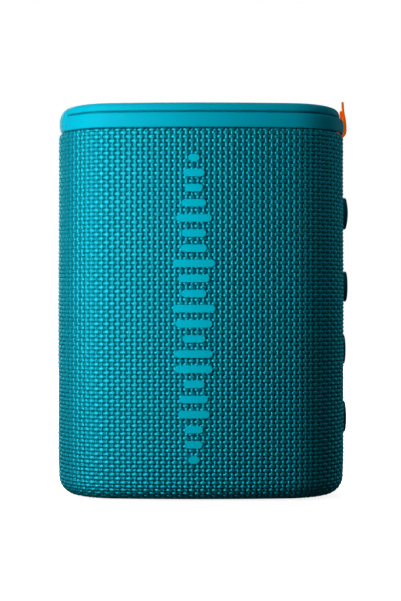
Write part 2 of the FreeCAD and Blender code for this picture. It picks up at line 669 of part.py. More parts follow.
def make_usb_socket():
    centre_z = BOARD_Z + BOARD_THICKNESS + USB_HEIGHT / 2
    mouth_y = USB_MOUTH_Y
    back_y = USB_MOUTH_Y - USB_LENGTH
    shell = rounded_bar(USB_WIDTH, USB_HEIGHT, (back_y, mouth_y), centre_z)
    hollow = rounded_bar(USB_WIDTH - 0.6, USB_HEIGHT - 0.6, (back_y + 1, mouth_y + 1), centre_z)
    tongue = block((-3.35, 3.35), (back_y + 0.5, mouth_y - 0.8), (centre_z - 0.35, centre_z + 0.35))
    return shell.cut(hollow).fuse(tongue)


# ---------------------------------------------------------------- electronics and battery

def make_main_board():
    board = slab(3.8, BOARD_Z, BOARD_Z + BOARD_THICKNESS)
    board = board.common(block((-34, 34), (-18.5, 19.0), (0, FAR)))
    for x, y in BOARD_POSTS:
        board = board.cut(rod_z(1.2, x, y, (0, FAR)))
    return board


def on_board(x, y, height):
    """A component's box on top of the main board."""
    top = BOARD_Z + BOARD_THICKNESS
    return block(x, y, (top, top + height))


def make_capacitors():
    top = BOARD_Z + BOARD_THICKNESS
    cans = []
    for x in (15, 21.5):
        can = rod_z(2.6, x, -11, (top, top + 5.4))
        cans.append(round_level(can, top + 5.4, 0.4))
    return Part.makeCompound(cans)


def make_inductors():
    coils = []
    for x in (7.0, 13.5, 20.0):
        coil = on_board((x - 2.5, x + 2.5), (1.5, 6.5), 3.0)
        coils.append(round_level(coil, BOARD_Z + BOARD_THICKNESS + 3.0, 0.5))
    return Part.makeCompound(coils)


def make_battery_cell():
    half = BATTERY_LENGTH / 2
    cell = rod_x(BATTERY_RADIUS, (-half, half), BATTERY_Y, BATTERY_Z)
    rims = [edge for edge in cell.Edges if abs(edge.BoundBox.XLength) < 0.1]
    cell = cell.makeFillet(0.8, rims)
    return cell.fuse(rod_x(2.8, (half - 0.5, half + 0.9), BATTERY_Y, BATTERY_Z))


def make_battery_cradle():
    """Two saddles joined by a strip, screwed nowhere: the cell's weight and the housing hold it."""
    floor = HOUSING_BOTTOM + HOUSING_WALL
    strip = block((-28, 28), (-5, 0), (floor, floor + 1.5))
    cradle = strip
    for x in (-28, 23):
        cradle = cradle.fuse(block((x, x + 5), (-13, 7), (floor, BATTERY_Z - 1)))
    return cradle.cut(rod_x(BATTERY_RADIUS + 0.1, (-60, 60), BATTERY_Y, BATTERY_Z))


# ---------------------------------------------------------------- sound drivers

def make_driver_basket():
    profile = [
        (24.4, -19.0),
        (DRIVER_FLANGE_RADIUS, -19.0),
        (DRIVER_FLANGE_RADIUS, -17.5),
        (25.6, -17.5),
        (18.4, -6.6),
        (16.5, -6.6),
        (16.5, -2.8),
        (9.0, -2.8),
        (9.0, -4.0),
        (15.5, -4.0),
        (15.5, -7.6),
        (17.6, -7.6),
        (24.4, -17.6),
    ]
    basket = turned(profile)
    for step in range(4):
        window = block((-6.5, 6.5), (-16.0, -8.6), (14, 30))
        window.rotate(V(0, 0, 0), Y_AXIS, 90.0 * step + 45)
        window.translate(V(0, 0, DRIVER_Z))
        basket = basket.cut(window)
    ear = block((-5, 5), (-11.2, -10.2), (DRIVER_Z - 26, DRIVER_Z - 20.5))
    basket = basket.fuse(ear)
    for x, z in around(4, DRIVER_SCREW_CIRCLE, 45):
        basket = basket.cut(rod_y(1.2, x, (-25, -15), z))
    return basket


def make_driver_surround():
    roll = half_roll(23.6, (1.3, 1.7), -19.0, -1)
    inner_land = hoop(22.3, 20.8, (-19.4, -19.0))
    outer_land = hoop(27.0, 24.9, (-19.4, -19.0))
    return roll.fuse(inner_land).fuse(outer_land)


def make_driver_cone():
    profile = [
        (6.95, -9.4),
        (20.6, -18.5),
        (22.2, -18.5),
        (22.2, -18.95),
        (20.4, -18.95),
        (6.95, -9.95),
    ]
    return turned(profile)


def make_dust_cap():
    """A shallow dome over the voice coil."""
    rim_radius = 9.6
    rise = 2.4
    rim_y = -12.2
    thickness = 0.5
    sphere_radius = (rim_radius ** 2 + rise ** 2) / (2 * rise)
    centre = V(0, rim_y - rise + sphere_radius, DRIVER_Z)
    shell = Part.makeSphere(sphere_radius, centre).cut(Part.makeSphere(sphere_radius - thickness, centre))
    return shell.common(disc(20, (rim_y - rise - 1, rim_y)))


def make_voice_coil():
    former = hoop(6.85, 6.7, (-10.0, 1.5))
    winding = hoop(7.15, 6.85, (-3.4, 0.6))
    return former.fuse(winding)


def make_spider():
    """A corrugated cloth disc that centres the voice coil."""
    inner_radius = 6.95
    outer_radius = 17.2
    waves = 4
    thickness = 0.4
    front = []
    back = []
    steps = 2 * waves
    for step in range(steps + 1):
        radius = inner_radius + (outer_radius - inner_radius) * step / steps
        dip = 0.5 if step % 2 else 0.0
        front.append((radius, -8.05 - dip))
        back.append((radius, -8.05 - dip + thickness))
    return turned(front + back[::-1])


def make_yoke():
    plate = disc(16, (6.0, 8.5))
    pole = disc(6.5, (-2.8, 6.0))
    return plate.fuse(pole).removeSplitter()


def make_radiator_surround():
    roll = half_roll(19.6, (1.7, 2.1), 19.0, 1)
    inner_land = hoop(17.9, 15.2, (19.0, 19.4))
    outer_land = hoop(24.0, 21.3, (19.0, 19.4))
    return roll.fuse(inner_land).fuse(outer_land)


def make_radiator_frame():
    frame = hoop(RADIATOR_FRAME_RADIUS, 22.0, (17.5, 19.0))
    for x, z in around(4, RADIATOR_SCREW_CIRCLE, 45):
        frame = frame.cut(rod_y(1.2, x, (10, 25), z))
    return frame


def make_gasket(outer_radius, inner_radius, screw_circle, y):
    gasket = hoop(outer_radius, inner_radius, y)
    for x, z in around(4, screw_circle, 45):
        gasket = gasket.cut(rod_y(1.2, x, (y[0] - 1, y[1] + 1), z))
    return gasket


def make_fasteners():
    """Every group of identical screws, each group as one node."""
    flange = screw(1.9, 1.1, 1.0, 3.4)
    join = screw(2.0, 1.4, 1.0, 12.0)
    board = screw(1.8, 1.1, 0.95, 4.5)
    base = screw(1.6, 0.45, 0.9, 2.0)
    cap = screw(1.9, 1.1, 1.0, 6.0)
    flange_screws = []
    for x, z in around(4, DRIVER_SCREW_CIRCLE, 45):
        flange_screws.append(placed(flange, V(x, -19.0, z), V(0, -1, 0)))
    for x, z in around(4, RADIATOR_SCREW_CIRCLE, 45):
        flange_screws.append(placed(flange, V(x, 19.0, z), Y_AXIS))
    board_screws = []
    for x, y in BOARD_POSTS:
        board_screws.append(placed(board, V(x, y, BOARD_Z + BOARD_THICKNESS), Z_AXIS))
    for z in SWITCH_POST_HEIGHTS:
        board_screws.append(placed(board, V(SWITCH_BOARD_X, 0, z), V(-1, 0, 0)))
    join_screws = []
    for x in (-JOIN_X, JOIN_X):
        for z in JOIN_HEIGHTS:
            join_screws.append(placed(join, V(x, JOIN_HEAD_Y, z), Y_AXIS))
    base_screws = [placed(base, V(x, y, BASE_BOTTOM + 0.5), V(0, 0, -1)) for x, y in BASE_SCREWS]
    lid_underside = HOUSING_TOP - HOUSING_LID
    cap_screws = [placed(cap, V(x, y, lid_underside), V(0, 0, -1)) for x, y in CAP_SCREWS]
    return {
        "flange_screws": Part.makeCompound(flange_screws),
        "housing_screws": Part.makeCompound(join_screws),
        "board_screws": Part.makeCompound(board_screws),
        "base_screws": Part.makeCompound(base_screws),
        "cap_screws": Part.makeCompound(cap_screws),
    }


def make_nodes():
    """Every piece of the speaker by name."""
    housing = make_housing()
    seal = make_housing_seal()
    front_side = block((-FAR, FAR), (-FAR, SPLIT_Y), (-FAR, FAR))
    rear_side = block((-FAR, FAR), (SPLIT_Y, FAR), (-FAR, FAR))
    connector_height = 4.2
    connector_top = BOARD_Z + BOARD_THICKNESS + connector_height
    driver_hole = DRIVER_HOLE_RADIUS + 0.2
    radiator_hole = RADIATOR_HOLE_RADIUS + 0.2
    nodes = {
        "fabric_sleeve": make_fabric_sleeve(),
        "front_emblem": make_front_emblem(),
        "front_grille": make_grille(FRONT_GRILLE_RADIUS, -1),
        "rear_grille": make_grille(REAR_GRILLE_RADIUS, 1),
        "housing_front": housing.common(front_side).cut(seal),
        "housing_rear": housing.common(rear_side).cut(seal),
        "housing_seal": seal,
        "foot_pad": make_foot_pad(),
        "base_plate": make_base_plate(),
        "top_cap": make_top_cap(),
        "loop_anchor": make_loop_anchor(),
        "carry_loop": make_carry_loop(),
        "pull_tab": make_pull_tab(),
        "key_seals": make_key_seals(),
        "tact_switches": make_tact_switches(),
        "switch_board": make_switch_board(),
        "status_light_pipe": rod_x(LIGHT_PIPE_RADIUS, (37.2, HALF_WIDTH - 0.1), 0, LIGHT_Z),
        "status_led": block((36.2, 37.0), (-0.8, 0.8), (LIGHT_Z - 0.5, LIGHT_Z + 0.5)),
        "port_flap": make_port_flap(),
        "port_flap_anchor": make_port_flap_anchor(),
        "usb_socket": make_usb_socket(),
        "main_board": make_main_board(),
        "radio_module": on_board((-27, -12), (2, 14), 2.2),
        "board_chips": Part.makeCompound([
            on_board((5, 12), (-8, -1), 0.9),
            on_board((-8, -3), (-9, -4), 0.9),
        ]),
        "key_ribbon": make_key_ribbon(),
        "board_connectors": Part.makeCompound([
            on_board((-24, -17), (-15, -10.5), connector_height),
            on_board((-13, -8.5), (-16.5, -12), connector_height),
            on_board((27.5, 32.9), (-7, -2), 3.4),
        ]),
        "inductors": make_inductors(),
        "capacitors": make_capacitors(),
        "battery_cell": make_battery_cell(),
        "battery_cradle": make_battery_cradle(),
        "driver_basket": make_driver_basket(),
        "driver_gasket": make_gasket(
            DRIVER_FLANGE_RADIUS, driver_hole, DRIVER_SCREW_CIRCLE, (-17.5, DRIVER_SEAT_Y)),
        "driver_terminals": block((-4, 4), (-12.4, -11.2), (DRIVER_Z - 25.6, DRIVER_Z - 22.6)),
        "driver_top_plate": hoop(15.0, 7.4, (-2.8, 0)),
        "driver_magnet": hoop(18.0, 9.0, (0, 6.0)),
        "driver_yoke": make_yoke(),
        "driver_voice_coil": make_voice_coil(),
        "driver_spider": make_spider(),
        "driver_cone": make_driver_cone(),
        "driver_dust_cap": make_dust_cap(),
        "driver_surround": make_driver_surround(),
        "radiator_frame": make_radiator_frame(),
        "radiator_gasket": make_gasket(
            RADIATOR_FRAME_RADIUS, radiator_hole, RADIATOR_SCREW_CIRCLE, (RADIATOR_SEAT_Y, 17.5)),
        "radiator_surround": make_radiator_surround(),
        "radiator_plate": disc(17.4, (17.2, 18.95)),
    }
    for name in KEYS:
        nodes["key_" + name] = make_key(name)
        nodes["plunger_" + name] = make_plunger(name)
    nodes.update(make_fasteners())
    nodes["battery_lead"] = wire_lead([
        (-33.1, -3, 21),
        (-36.4, -3.5, 22.5),
        (-36.6, -8, 30),
        (-35.0, -13.2, 38.2),
        (-26.5, -13.6, 39.6),
        (-20.5, -12.8, connector_top + 1.4),
        (-20.5, -12.75, connector_top + 0.05),
    ], 0.6)
    nodes["driver_lead"] = wire_lead([
        (-10.75, -14.2, connector_top + 0.05),
        (-10.75, -14.0, 39.4),
        (-9.4, -11.8, 42.4),
        (-3.5, -10.9, 44.6),
        (0, -11.8, 46.6),
        (0, -11.8, DRIVER_Z - 25.65),
    ], 0.6)
    return nodes


def main():
    os.makedirs("parts", exist_ok=True)
    for name, shape in make_nodes().items():
        if not shape.isValid() or not shape.Solids:
            print("PROBLEM with", name, shape.isValid(), len(shape.Solids))
        shape.exportStep("parts/%s.step" % name)
        print("%-22s solids %2d volume %9.1f" % (name, len(shape.Solids), shape.Volume))


main()
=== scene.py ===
import json
import math

import bmesh
import bpy
import numpy as np
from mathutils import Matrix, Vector


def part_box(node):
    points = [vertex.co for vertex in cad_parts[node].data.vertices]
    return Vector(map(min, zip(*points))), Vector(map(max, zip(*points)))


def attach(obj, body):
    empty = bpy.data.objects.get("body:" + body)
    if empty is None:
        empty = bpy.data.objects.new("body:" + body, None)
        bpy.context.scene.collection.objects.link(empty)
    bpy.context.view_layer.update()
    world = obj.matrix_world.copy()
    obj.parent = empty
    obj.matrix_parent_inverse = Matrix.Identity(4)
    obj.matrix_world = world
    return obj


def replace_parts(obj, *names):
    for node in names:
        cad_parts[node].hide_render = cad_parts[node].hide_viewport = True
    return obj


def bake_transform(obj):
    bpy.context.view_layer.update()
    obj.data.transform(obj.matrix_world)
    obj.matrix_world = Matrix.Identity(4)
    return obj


# Looks of a portable fabric-covered loudspeaker, built around its CAD frame. Metres, front towards -Y.

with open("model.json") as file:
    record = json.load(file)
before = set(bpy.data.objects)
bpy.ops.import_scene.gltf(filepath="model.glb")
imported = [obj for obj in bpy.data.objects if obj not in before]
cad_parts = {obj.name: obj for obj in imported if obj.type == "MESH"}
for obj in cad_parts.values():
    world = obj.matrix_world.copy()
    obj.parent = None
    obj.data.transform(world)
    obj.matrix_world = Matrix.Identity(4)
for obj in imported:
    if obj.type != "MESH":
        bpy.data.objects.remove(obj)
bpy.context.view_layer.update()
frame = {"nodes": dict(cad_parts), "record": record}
NODES = frame["nodes"]
MM = 0.001

# ---------------------------------------------------------------- sizes

sleeve_low, sleeve_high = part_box("fabric_sleeve")
cap_low, cap_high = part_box("top_cap")
anchor_low, anchor_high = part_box("loop_anchor")
tab_low, tab_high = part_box("pull_tab")
flap_low, flap_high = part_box("port_flap")
flap_edge_low, flap_edge_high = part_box("port_flap_anchor")

HALF_WIDTH = sleeve_high.x
HALF_DEPTH = -sleeve_low.y
CORNER_RADIUS = 18 * MM
BOW_RADIUS = 300 * MM
BOTTOM_ROUND = 5.2 * MM
BOTTOM_DRAW = 0.25 * MM
TOP_CURL = 1.1 * MM
HEM_INSET = 8.5 * MM
UNDERSIDE = HEM_INSET - BOTTOM_ROUND
DRAW_HEIGHT = 13 * MM
DRAW_SPAN = 9 * MM
TAPER = 0.15 * MM
TAPER_HEIGHT = 55 * MM
TAPER_SPAN = 50 * MM
SEAM_DEPTH = 0.3 * MM
SEAM_WIDTH = 0.4 * MM
CAP_INSET = HALF_WIDTH - cap_high.x
CAP_ROUND = 2.0 * MM
CAP_TOP_RINGS = (5.0 * MM, 9.0 * MM, 13.0 * MM, 17.2 * MM)
RING_COLUMNS = 720
LUG_HALF_WIDTH = 13.5 * MM
LUG_INNER_INSET = 1.9 * MM
LUG_OUTER_INSET = 0.2 * MM
LUG_UNDERCUT = 3.2 * MM
GROOVE_INSET = 1.9 * MM
CAP_WALL_INSET = 4.0 * MM
STRAP_OUTER_INSET = -0.15 * MM
STRAP_INNER_INSET = 0.85 * MM
STRAP_EDGE = 0.45 * MM
STRAP_TUCK = 2.2 * MM
STRAP_LIFT_AT_TAB = 0.7 * MM
TAB_HALF_WIDTH = (tab_high.y - tab_low.y) / 2
TAB_NOTCH_HALF_WIDTH = TAB_HALF_WIDTH + 0.7 * MM
TAB_NOTCH_INSET = 2.4 * MM
TAB_THICKNESS = 0.70 * MM
TAB_TWIST = 0.50 * MM
KEY_FACE_RADIUS = {"power": 4.95 * MM, "volume_up": 4.75 * MM, "volume_down": 4.65 * MM, "play": 4.95 * MM}
LIGHT_HOLE_RADIUS = 1.1 * MM
FLAP_CORNER = 2.8 * MM
FLAP_OUTER_INSET = 0.2 * MM
FLAP_INNER_INSET = 1.8 * MM
FLAP_EDGE_ROUND = 0.35 * MM
FLAP_LIP = 0.5 * MM
FLAP_GROOVE = 0.45 * MM
PLUG_HALF_WIDTH = 4.2 * MM
PLUG_HALF_HEIGHT = 1.3 * MM
PLUG_MIDDLE_Z = 33.8 * MM
# Each ring of the plug: its Y in millimetres and its share of the full section.
PLUG_RINGS = ((22.6, 1.0), (21.4, 1.0), (20.6, 0.98), (20.35, 0.9), (20.3, 0.6))
PORT_GAP = 0.4 * MM
SURROUND_LAND = 0.4 * MM
DRIVER_BOND = (20.8 * MM, 22.2 * MM)
DRIVER_ROLL = (23.75 * MM, 1.4 * MM, 1.0 * MM)
DRIVER_LAND_RADIUS = 27.0 * MM
RADIATOR_BOND = (15.2 * MM, 17.4 * MM)
RADIATOR_ROLL = (19.65 * MM, 2.05 * MM, 1.65 * MM)
RADIATOR_LAND_RADIUS = 24.0 * MM
STITCH_COUNT = 32
STITCH_PITCH = 3.2 * MM
STITCH_FIRST = 8 * MM
STITCH_OFFSET = 1.7 * MM
STITCH_HALF_LENGTH = 1.1 * MM
STITCH_RADIUS = 0.24 * MM
PORT_HALF_WIDTH = (flap_high.x - flap_low.x) / 2 + PORT_GAP
PORT_HALF_HEIGHT = (flap_high.z - flap_edge_low.z) / 2 + PORT_GAP
PORT_CORNER = FLAP_CORNER + PORT_GAP
PORT_MIDDLE_Z = (flap_edge_low.z + flap_high.z) / 2

CORNER_X = HALF_WIDTH - CORNER_RADIUS
BOW_LEAN = math.asin(CORNER_X / (BOW_RADIUS - CORNER_RADIUS))
CORNER_Y = (BOW_RADIUS - CORNER_RADIUS) * math.cos(BOW_LEAN) - (BOW_RADIUS - HALF_DEPTH)
BOW_LENGTH = BOW_RADIUS * BOW_LEAN
CORNER_LENGTH = CORNER_RADIUS * (math.pi / 2 - BOW_LEAN)
QUARTER = BOW_LENGTH + CORNER_LENGTH + CORNER_Y
PERIMETER = 4 * QUARTER

# Weave: warp yarns stand upright, weft yarns run round the body.
WARP_COUNT = 140
WARP_STEPS = (0.0, 0.2, 0.33, 0.5, 0.67, 0.8)
WEFT_PITCH = 1.21 * MM
WEFT_STEPS = (0.0, 0.12, 0.37, 0.63, 0.88)
WARP_CRIMP = 0.22 * MM
WEFT_CRIMP = 0.34 * MM
WARP_HEIGHT = 0.40 * MM
WEFT_HEIGHT = 0.30 * MM
WARP_HALF_WIDTH = 0.30
WEFT_HALF_WIDTH = 0.44
FLOAT_EXTRA = 0.35
FLOAT_PLATEAU = 0.4
HOLE_FLOOR = -0.30 * MM
CREST_PROUD = 0.22 * MM
CLOTH_THICKNESS = 1.0 * MM

HORIZON = 59.8 * MM
CAMERA_DISTANCE = 350 * MM
CAMERA_X = -0.15 * MM
LENS = 71.2


# ---------------------------------------------------------------- helpers

def smooth(x):
    """0 below 0, 1 above 1, and a smooth step between."""
    x = np.clip(x, 0.0, 1.0)
    return x * x * (3 - 2 * x)


def plan(distance):
    """Points and outward normals of the plan outline, by distance round it from the middle of the back.

    The middle of the left side is at one QUARTER, of the front at two, and of the right side at three.
    """
    distance = np.mod(np.asarray(distance, float), PERIMETER)
    quadrant = np.minimum((distance / QUARTER).astype(int), 3)
    along = distance - quadrant * QUARTER
    along = np.where(quadrant % 2 == 1, QUARTER - along, along)
    bow = np.clip(along, 0, BOW_LENGTH) / BOW_RADIUS
    corner = BOW_LEAN + np.clip(along - BOW_LENGTH, 0, CORNER_LENGTH) / CORNER_RADIUS
    straight = np.clip(along - BOW_LENGTH - CORNER_LENGTH, 0, None)
    on_bow = along < BOW_LENGTH
    x = np.where(on_bow, BOW_RADIUS * np.sin(bow), CORNER_X + CORNER_RADIUS * np.sin(corner))
    y = np.where(on_bow, BOW_RADIUS * np.cos(bow) - (BOW_RADIUS - HALF_DEPTH),
                 CORNER_Y + CORNER_RADIUS * np.cos(corner) - straight)
    turn = np.where(on_bow, bow, corner)
    sign_x = np.where(quadrant < 2, -1.0, 1.0)
    sign_y = np.where((quadrant == 0) | (quadrant == 3), 1.0, -1.0)
    points = np.stack([sign_x * x, sign_y * y], -1)
    normals = np.stack([sign_x * np.sin(turn), sign_y * np.cos(turn)], -1)
    return points, normals


def new_object(name, points, faces, body, smooth_shaded=True):
    """A mesh object from arrays, riding on a CAD body."""
    mesh = bpy.data.meshes.new(name)
    mesh.from_pydata(np.asarray(points).reshape(-1, 3).tolist(), [], [list(face) for face in faces])
    mesh.validate()
    mesh.update()
    if smooth_shaded:
        mesh.polygons.foreach_set("use_smooth", [True] * len(mesh.polygons))
    obj = bpy.data.objects.new(name, mesh)
    bpy.context.scene.collection.objects.link(obj)
    if body:
        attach(obj, body)
    return obj


def grid_faces(rows, columns, closed_rows=False, closed_columns=False):
    """Quads of a grid of points stored row by row."""
    faces = []
    for row in range(rows if closed_rows else rows - 1):
        below = row * columns
        above = ((row + 1) % rows) * columns
        for column in range(columns if closed_columns else columns - 1):
            after = (column + 1) % columns
            faces.append((below + column, below + after, above + after, above + column))
    return faces


def wrapped(distance, centre):
    """Signed distance along the outline from centre, the short way round."""
    return np.mod(distance - centre + PERIMETER / 2, PERIMETER) - PERIMETER / 2


# ---------------------------------------------------------------- materials

class Shader:
    """A node material with a Principled BSDF and short calls to build on it."""

    def __init__(self, name, color, roughness, metallic=0.0):
        self.material = bpy.data.materials.new(name)
        self.material.use_nodes = True
        self.tree = self.material.node_tree
        self.bsdf = self.tree.nodes["Principled BSDF"]
        self.bsdf.inputs["Base Color"].default_value = (*color, 1)
        self.bsdf.inputs["Roughness"].default_value = roughness
        self.bsdf.inputs["Metallic"].default_value = metallic
        self.coordinates = self.add("ShaderNodeTexCoord").outputs["Object"]

    def add(self, kind, **settings):
        node = self.tree.nodes.new(kind)
        for key, value in settings.items():
            setattr(node, key, value)
        return node

    def join(self, source, target):
        self.tree.links.new(source, target)

    def attribute(self, name):
        return self.add("ShaderNodeAttribute", attribute_name=name).outputs["Fac"]

    def stretched(self, scale):
        """Object coordinates multiplied by a scale per axis."""
        mapping = self.add("ShaderNodeMapping")
        mapping.inputs["Scale"].default_value = scale
        self.join(self.coordinates, mapping.inputs["Vector"])
        return mapping.outputs["Vector"]

    def noise(self, scale, detail=3.0, roughness=0.5, stretch=None):
        node = self.add("ShaderNodeTexNoise")
        node.inputs["Scale"].default_value = scale
        node.inputs["Detail"].default_value = detail
        node.inputs["Roughness"].default_value = roughness
        source = self.stretched(stretch) if stretch else self.coordinates
        self.join(source, node.inputs["Vector"])
        return node.outputs["Fac"]

    def wave(self, scale, direction="X", distortion=0.0, stretch=None):
        node = self.add("ShaderNodeTexWave", wave_type="BANDS", bands_direction=direction)
        node.inputs["Scale"].default_value = scale
        node.inputs["Distortion"].default_value = distortion
        source = self.stretched(stretch) if stretch else self.coordinates
        self.join(source, node.inputs["Vector"])
        return node.outputs["Fac"]

    def span(self, value, low, high, to_low=0.0, to_high=1.0):
        """Map a value's range onto another, clamped."""
        node = self.add("ShaderNodeMapRange")
        node.inputs["From Min"].default_value = low
        node.inputs["From Max"].default_value = high
        node.inputs["To Min"].default_value = to_low
        node.inputs["To Max"].default_value = to_high
        self.join(value, node.inputs["Value"])
        return node.outputs["Result"]

    def mix(self, factor, first, second):
        """A colour between two colours, each a triple or a socket."""
        node = self.add("ShaderNodeMix", data_type="RGBA")
        self.join(factor, node.inputs["Factor"])
        inputs = [socket for socket in node.inputs if socket.type == "RGBA"]
        for socket, value in zip(inputs, (first, second)):
            if isinstance(value, tuple):
                socket.default_value = (*value, 1)
            else:
                self.join(value, socket)
        return [socket for socket in node.outputs if socket.type == "RGBA"][0]

    def color(self, source):
        self.join(source, self.bsdf.inputs["Base Color"])

    def roughness(self, source):
        self.join(source, self.bsdf.inputs["Roughness"])

    def bump(self, height, distance, strength=1.0):
        node = self.add("ShaderNodeBump")
        node.inputs["Strength"].default_value = strength
        node.inputs["Distance"].default_value = distance
        self.join(height, node.inputs["Height"])
        self.join(node.outputs["Normal"], self.bsdf.inputs["Normal"])

    def set(self, **values):
        for key, value in values.items():
            self.bsdf.inputs[key.replace("_", " ")].default_value = value
        return self


def woven_cloth():
    """Coated yarn, a little different from yarn to yarn, with painted shade and painted highlight by the
    weave's height: dark holes, mid-tone flanks, lighter crests.
    """
    shader = Shader("woven_cloth", (0.0, 0.3, 0.4), 0.45)
    height_shade = shader.attribute("height_shade")
    yarn = shader.attribute("yarn")
    # Painted shade and painted highlight: low parts of the weave are darkened towards the hole colour, and
    # high parts are lightened towards the crest colour.
    hole_shade = shader.span(height_shade, 0.1, 0.5)
    high = shader.span(height_shade, 0.45, 0.85)
    hole_shade_mix = shader.mix(hole_shade, (0.0, 0.03, 0.045), (0.0, 0.22, 0.30))
    shade_and_crest_light = shader.mix(high, hole_shade_mix, (0.005, 0.41, 0.53))
    tinted = shader.mix(shader.span(yarn, 0, 1, 0.0, 0.25), shade_and_crest_light, (0.0, 0.20, 0.30))
    speckle = shader.noise(5200, 4, 0.6)
    shader.color(shader.mix(shader.span(speckle, 0.35, 0.7, 0.0, 0.2), tinted, (0.01, 0.55, 0.68)))
    shader.roughness(shader.span(speckle, 0.3, 0.7, 0.40, 0.55))
    shader.bump(shader.noise(9000, 2, 0.6), 0.00003, 0.4)
    shader.set(Metallic=0.78, Specular_IOR_Level=0.3, Specular_Tint=(0.5, 0.95, 1.0, 1.0))
    return shader.material


def moulded(name, color, roughness, grain=2000, grain_depth=0.000015, tint=0.05, specular=0.03):
    """Moulded plastic or rubber: fine spark texture, slight tone changes."""
    shader = Shader(name, color, roughness)
    cloud = shader.noise(60, 3, 0.5)
    darker = tuple(channel * (1 - tint) for channel in color)
    lighter = tuple(min(channel * (1 + tint), 1.0) for channel in color)
    shader.color(shader.mix(cloud, darker, lighter))
    fine = shader.noise(grain, 4, 0.6)
    shader.roughness(shader.span(fine, 0.3, 0.7, roughness * 0.9, min(roughness * 1.12, 1.0)))
    shader.bump(fine, grain_depth, 0.5)
    shader.set(Specular_IOR_Level=specular)
    return shader.material


# ---------------------------------------------------------------- camera, light, floor

def make_camera():
    data = bpy.data.cameras.new("camera")
    data.lens = LENS
    data.sensor_width = 36
    data.clip_start = 0.01
    camera = bpy.data.objects.new("camera", data)
    camera.location = (CAMERA_X, -(HALF_DEPTH + CAMERA_DISTANCE), HORIZON)
    camera.rotation_euler = (math.pi / 2, 0, 0)
    bpy.context.scene.collection.objects.link(camera)
    bpy.context.scene.camera = camera


def area_light(name, place, target, size, power, color=(1, 1, 1)):
    data = bpy.data.lights.new(name, "AREA")
    data.shape = "RECTANGLE"
    data.size, data.size_y = size
    data.energy = power
    data.color = color
    light = bpy.data.objects.new(name, data)
    light.location = place
    light.rotation_euler = (Vector(target) - Vector(place)).to_track_quat("-Z", "Y").to_euler()
    light.visible_camera = False
    bpy.context.scene.collection.objects.link(light)
    return light


def make_stage():
    """A pale seamless floor and soft light, strongest from the front left."""
    floor_material = Shader("floor_paper", (0.9, 0.9, 0.9), 0.9)
    floor_material.set(Emission_Color=(1, 1, 1, 1), Specular_IOR_Level=0.0)
    reach = floor_material.add("ShaderNodeVectorMath", operation="LENGTH")
    floor_material.join(floor_material.coordinates, reach.inputs[0])
    glow = floor_material.span(reach.outputs["Value"], 0.08, 0.5, 0.88, 1.0)
    floor_material.join(glow, floor_material.bsdf.inputs["Emission Strength"])
    half = 6.0
    corners = [(-half, -half, 0), (half, -half, 0), (half, half, 0), (-half, half, 0)]
    floor = new_object("floor", corners, [(0, 1, 2, 3)], None)
    floor.data.materials.append(floor_material.material)
    floor.visible_diffuse = False
    floor.visible_glossy = False

    middle = (0, 0, HORIZON)
    area_light("key_left", (-0.063, -0.083, 0.090), (-0.035, -0.02, 0.086), (0.05, 0.21), 0.133)
    area_light("top_soft", (-0.10, 0.10, 0.50), middle, (0.4, 0.4), 0.5)
    area_light("back_fill", (-0.10, 0.60, 0.25), middle, (0.6, 0.5), 4.0)
    area_light("right_rear", (0.42, 0.26, 0.12), middle, (0.3, 0.4), 0.21)
    area_light("left_rear", (-0.25, 0.45, 0.15), middle, (0.3, 0.4), 0.8)
    area_light("front_fill", (-0.75, -0.40, 0.20), middle, (0.5, 0.5), 0.2)
    area_light("right_fill", (0.34, -0.12, 0.38), middle, (0.3, 0.3), 0.08, (0.85, 0.97, 1.0))
    area_light("right_top", (0.10, -0.08, 0.16), (0.036, -0.015, 0.113), (0.03, 0.03), 0.0045)
    area_light("left_side", (-0.44, 0.15, 0.05), middle, (0.5, 0.3), 0.35, (0.85, 0.97, 1.0))

    world = bpy.data.worlds.new("studio")
    world.use_nodes = True
    tree = world.node_tree
    background = tree.nodes["Background"]
    background.inputs["Color"].default_value = (1, 1, 1, 1)
    background.inputs["Strength"].default_value = 0.02
    seen = tree.nodes.new("ShaderNodeBackground")
    seen.inputs["Color"].default_value = (1, 1, 1, 1)
    seen.inputs["Strength"].default_value = 1.0
    path = tree.nodes.new("ShaderNodeLightPath")
    chooser = tree.nodes.new("ShaderNodeMixShader")
    tree.links.new(path.outputs["Is Camera Ray"], chooser.inputs[0])
    tree.links.new(background.outputs[0], chooser.inputs[1])
    tree.links.new(seen.outputs[0], chooser.inputs[2])
    tree.links.new(chooser.outputs[0], tree.nodes["World Output"].inputs["Surface"])
    bpy.context.scene.world = world
    bpy.context.scene.view_settings.view_transform = "Standard"


# ---------------------------------------------------------------- fabric sleeve

def sleeve_profile(run):
    """Inset, height and outward normal (out, up) of the cloth, by distance up its profile from the hem."""
    wall_bottom = sleeve_low.z + BOTTOM_ROUND
    wall_length = sleeve_high.z - TOP_CURL - wall_bottom
    to_wall = UNDERSIDE + BOTTOM_ROUND * math.pi / 2
    under = np.clip(UNDERSIDE - run, 0, UNDERSIDE)
    angle = np.clip((run - UNDERSIDE) / BOTTOM_ROUND, 0, math.pi / 2)
    up = np.clip(run - to_wall, 0, wall_length)
    curl = np.clip((run - to_wall - wall_length) / TOP_CURL, 0, math.pi / 2)
    inset = under + BOTTOM_ROUND * (1 - np.sin(angle)) + TOP_CURL * (1 - np.cos(curl))
    height = wall_bottom - BOTTOM_ROUND * np.cos(angle) + up + TOP_CURL * np.sin(curl)
    inset = inset + TAPER * smooth((height - TAPER_HEIGHT) / TAPER_SPAN)
    inset = inset + BOTTOM_DRAW * smooth((DRAW_HEIGHT - height) / DRAW_SPAN) * np.sin(angle)
    tilt = angle - math.pi / 2 + curl
    return inset, height, np.cos(tilt), np.sin(tilt)


def sleeve_run_length():
    """Length of the cloth's profile, from the hem under the body to the curled upper edge."""
    wall = sleeve_high.z - TOP_CURL - sleeve_low.z - BOTTOM_ROUND
    return UNDERSIDE + BOTTOM_ROUND * math.pi / 2 + wall + TOP_CURL * math.radians(80)


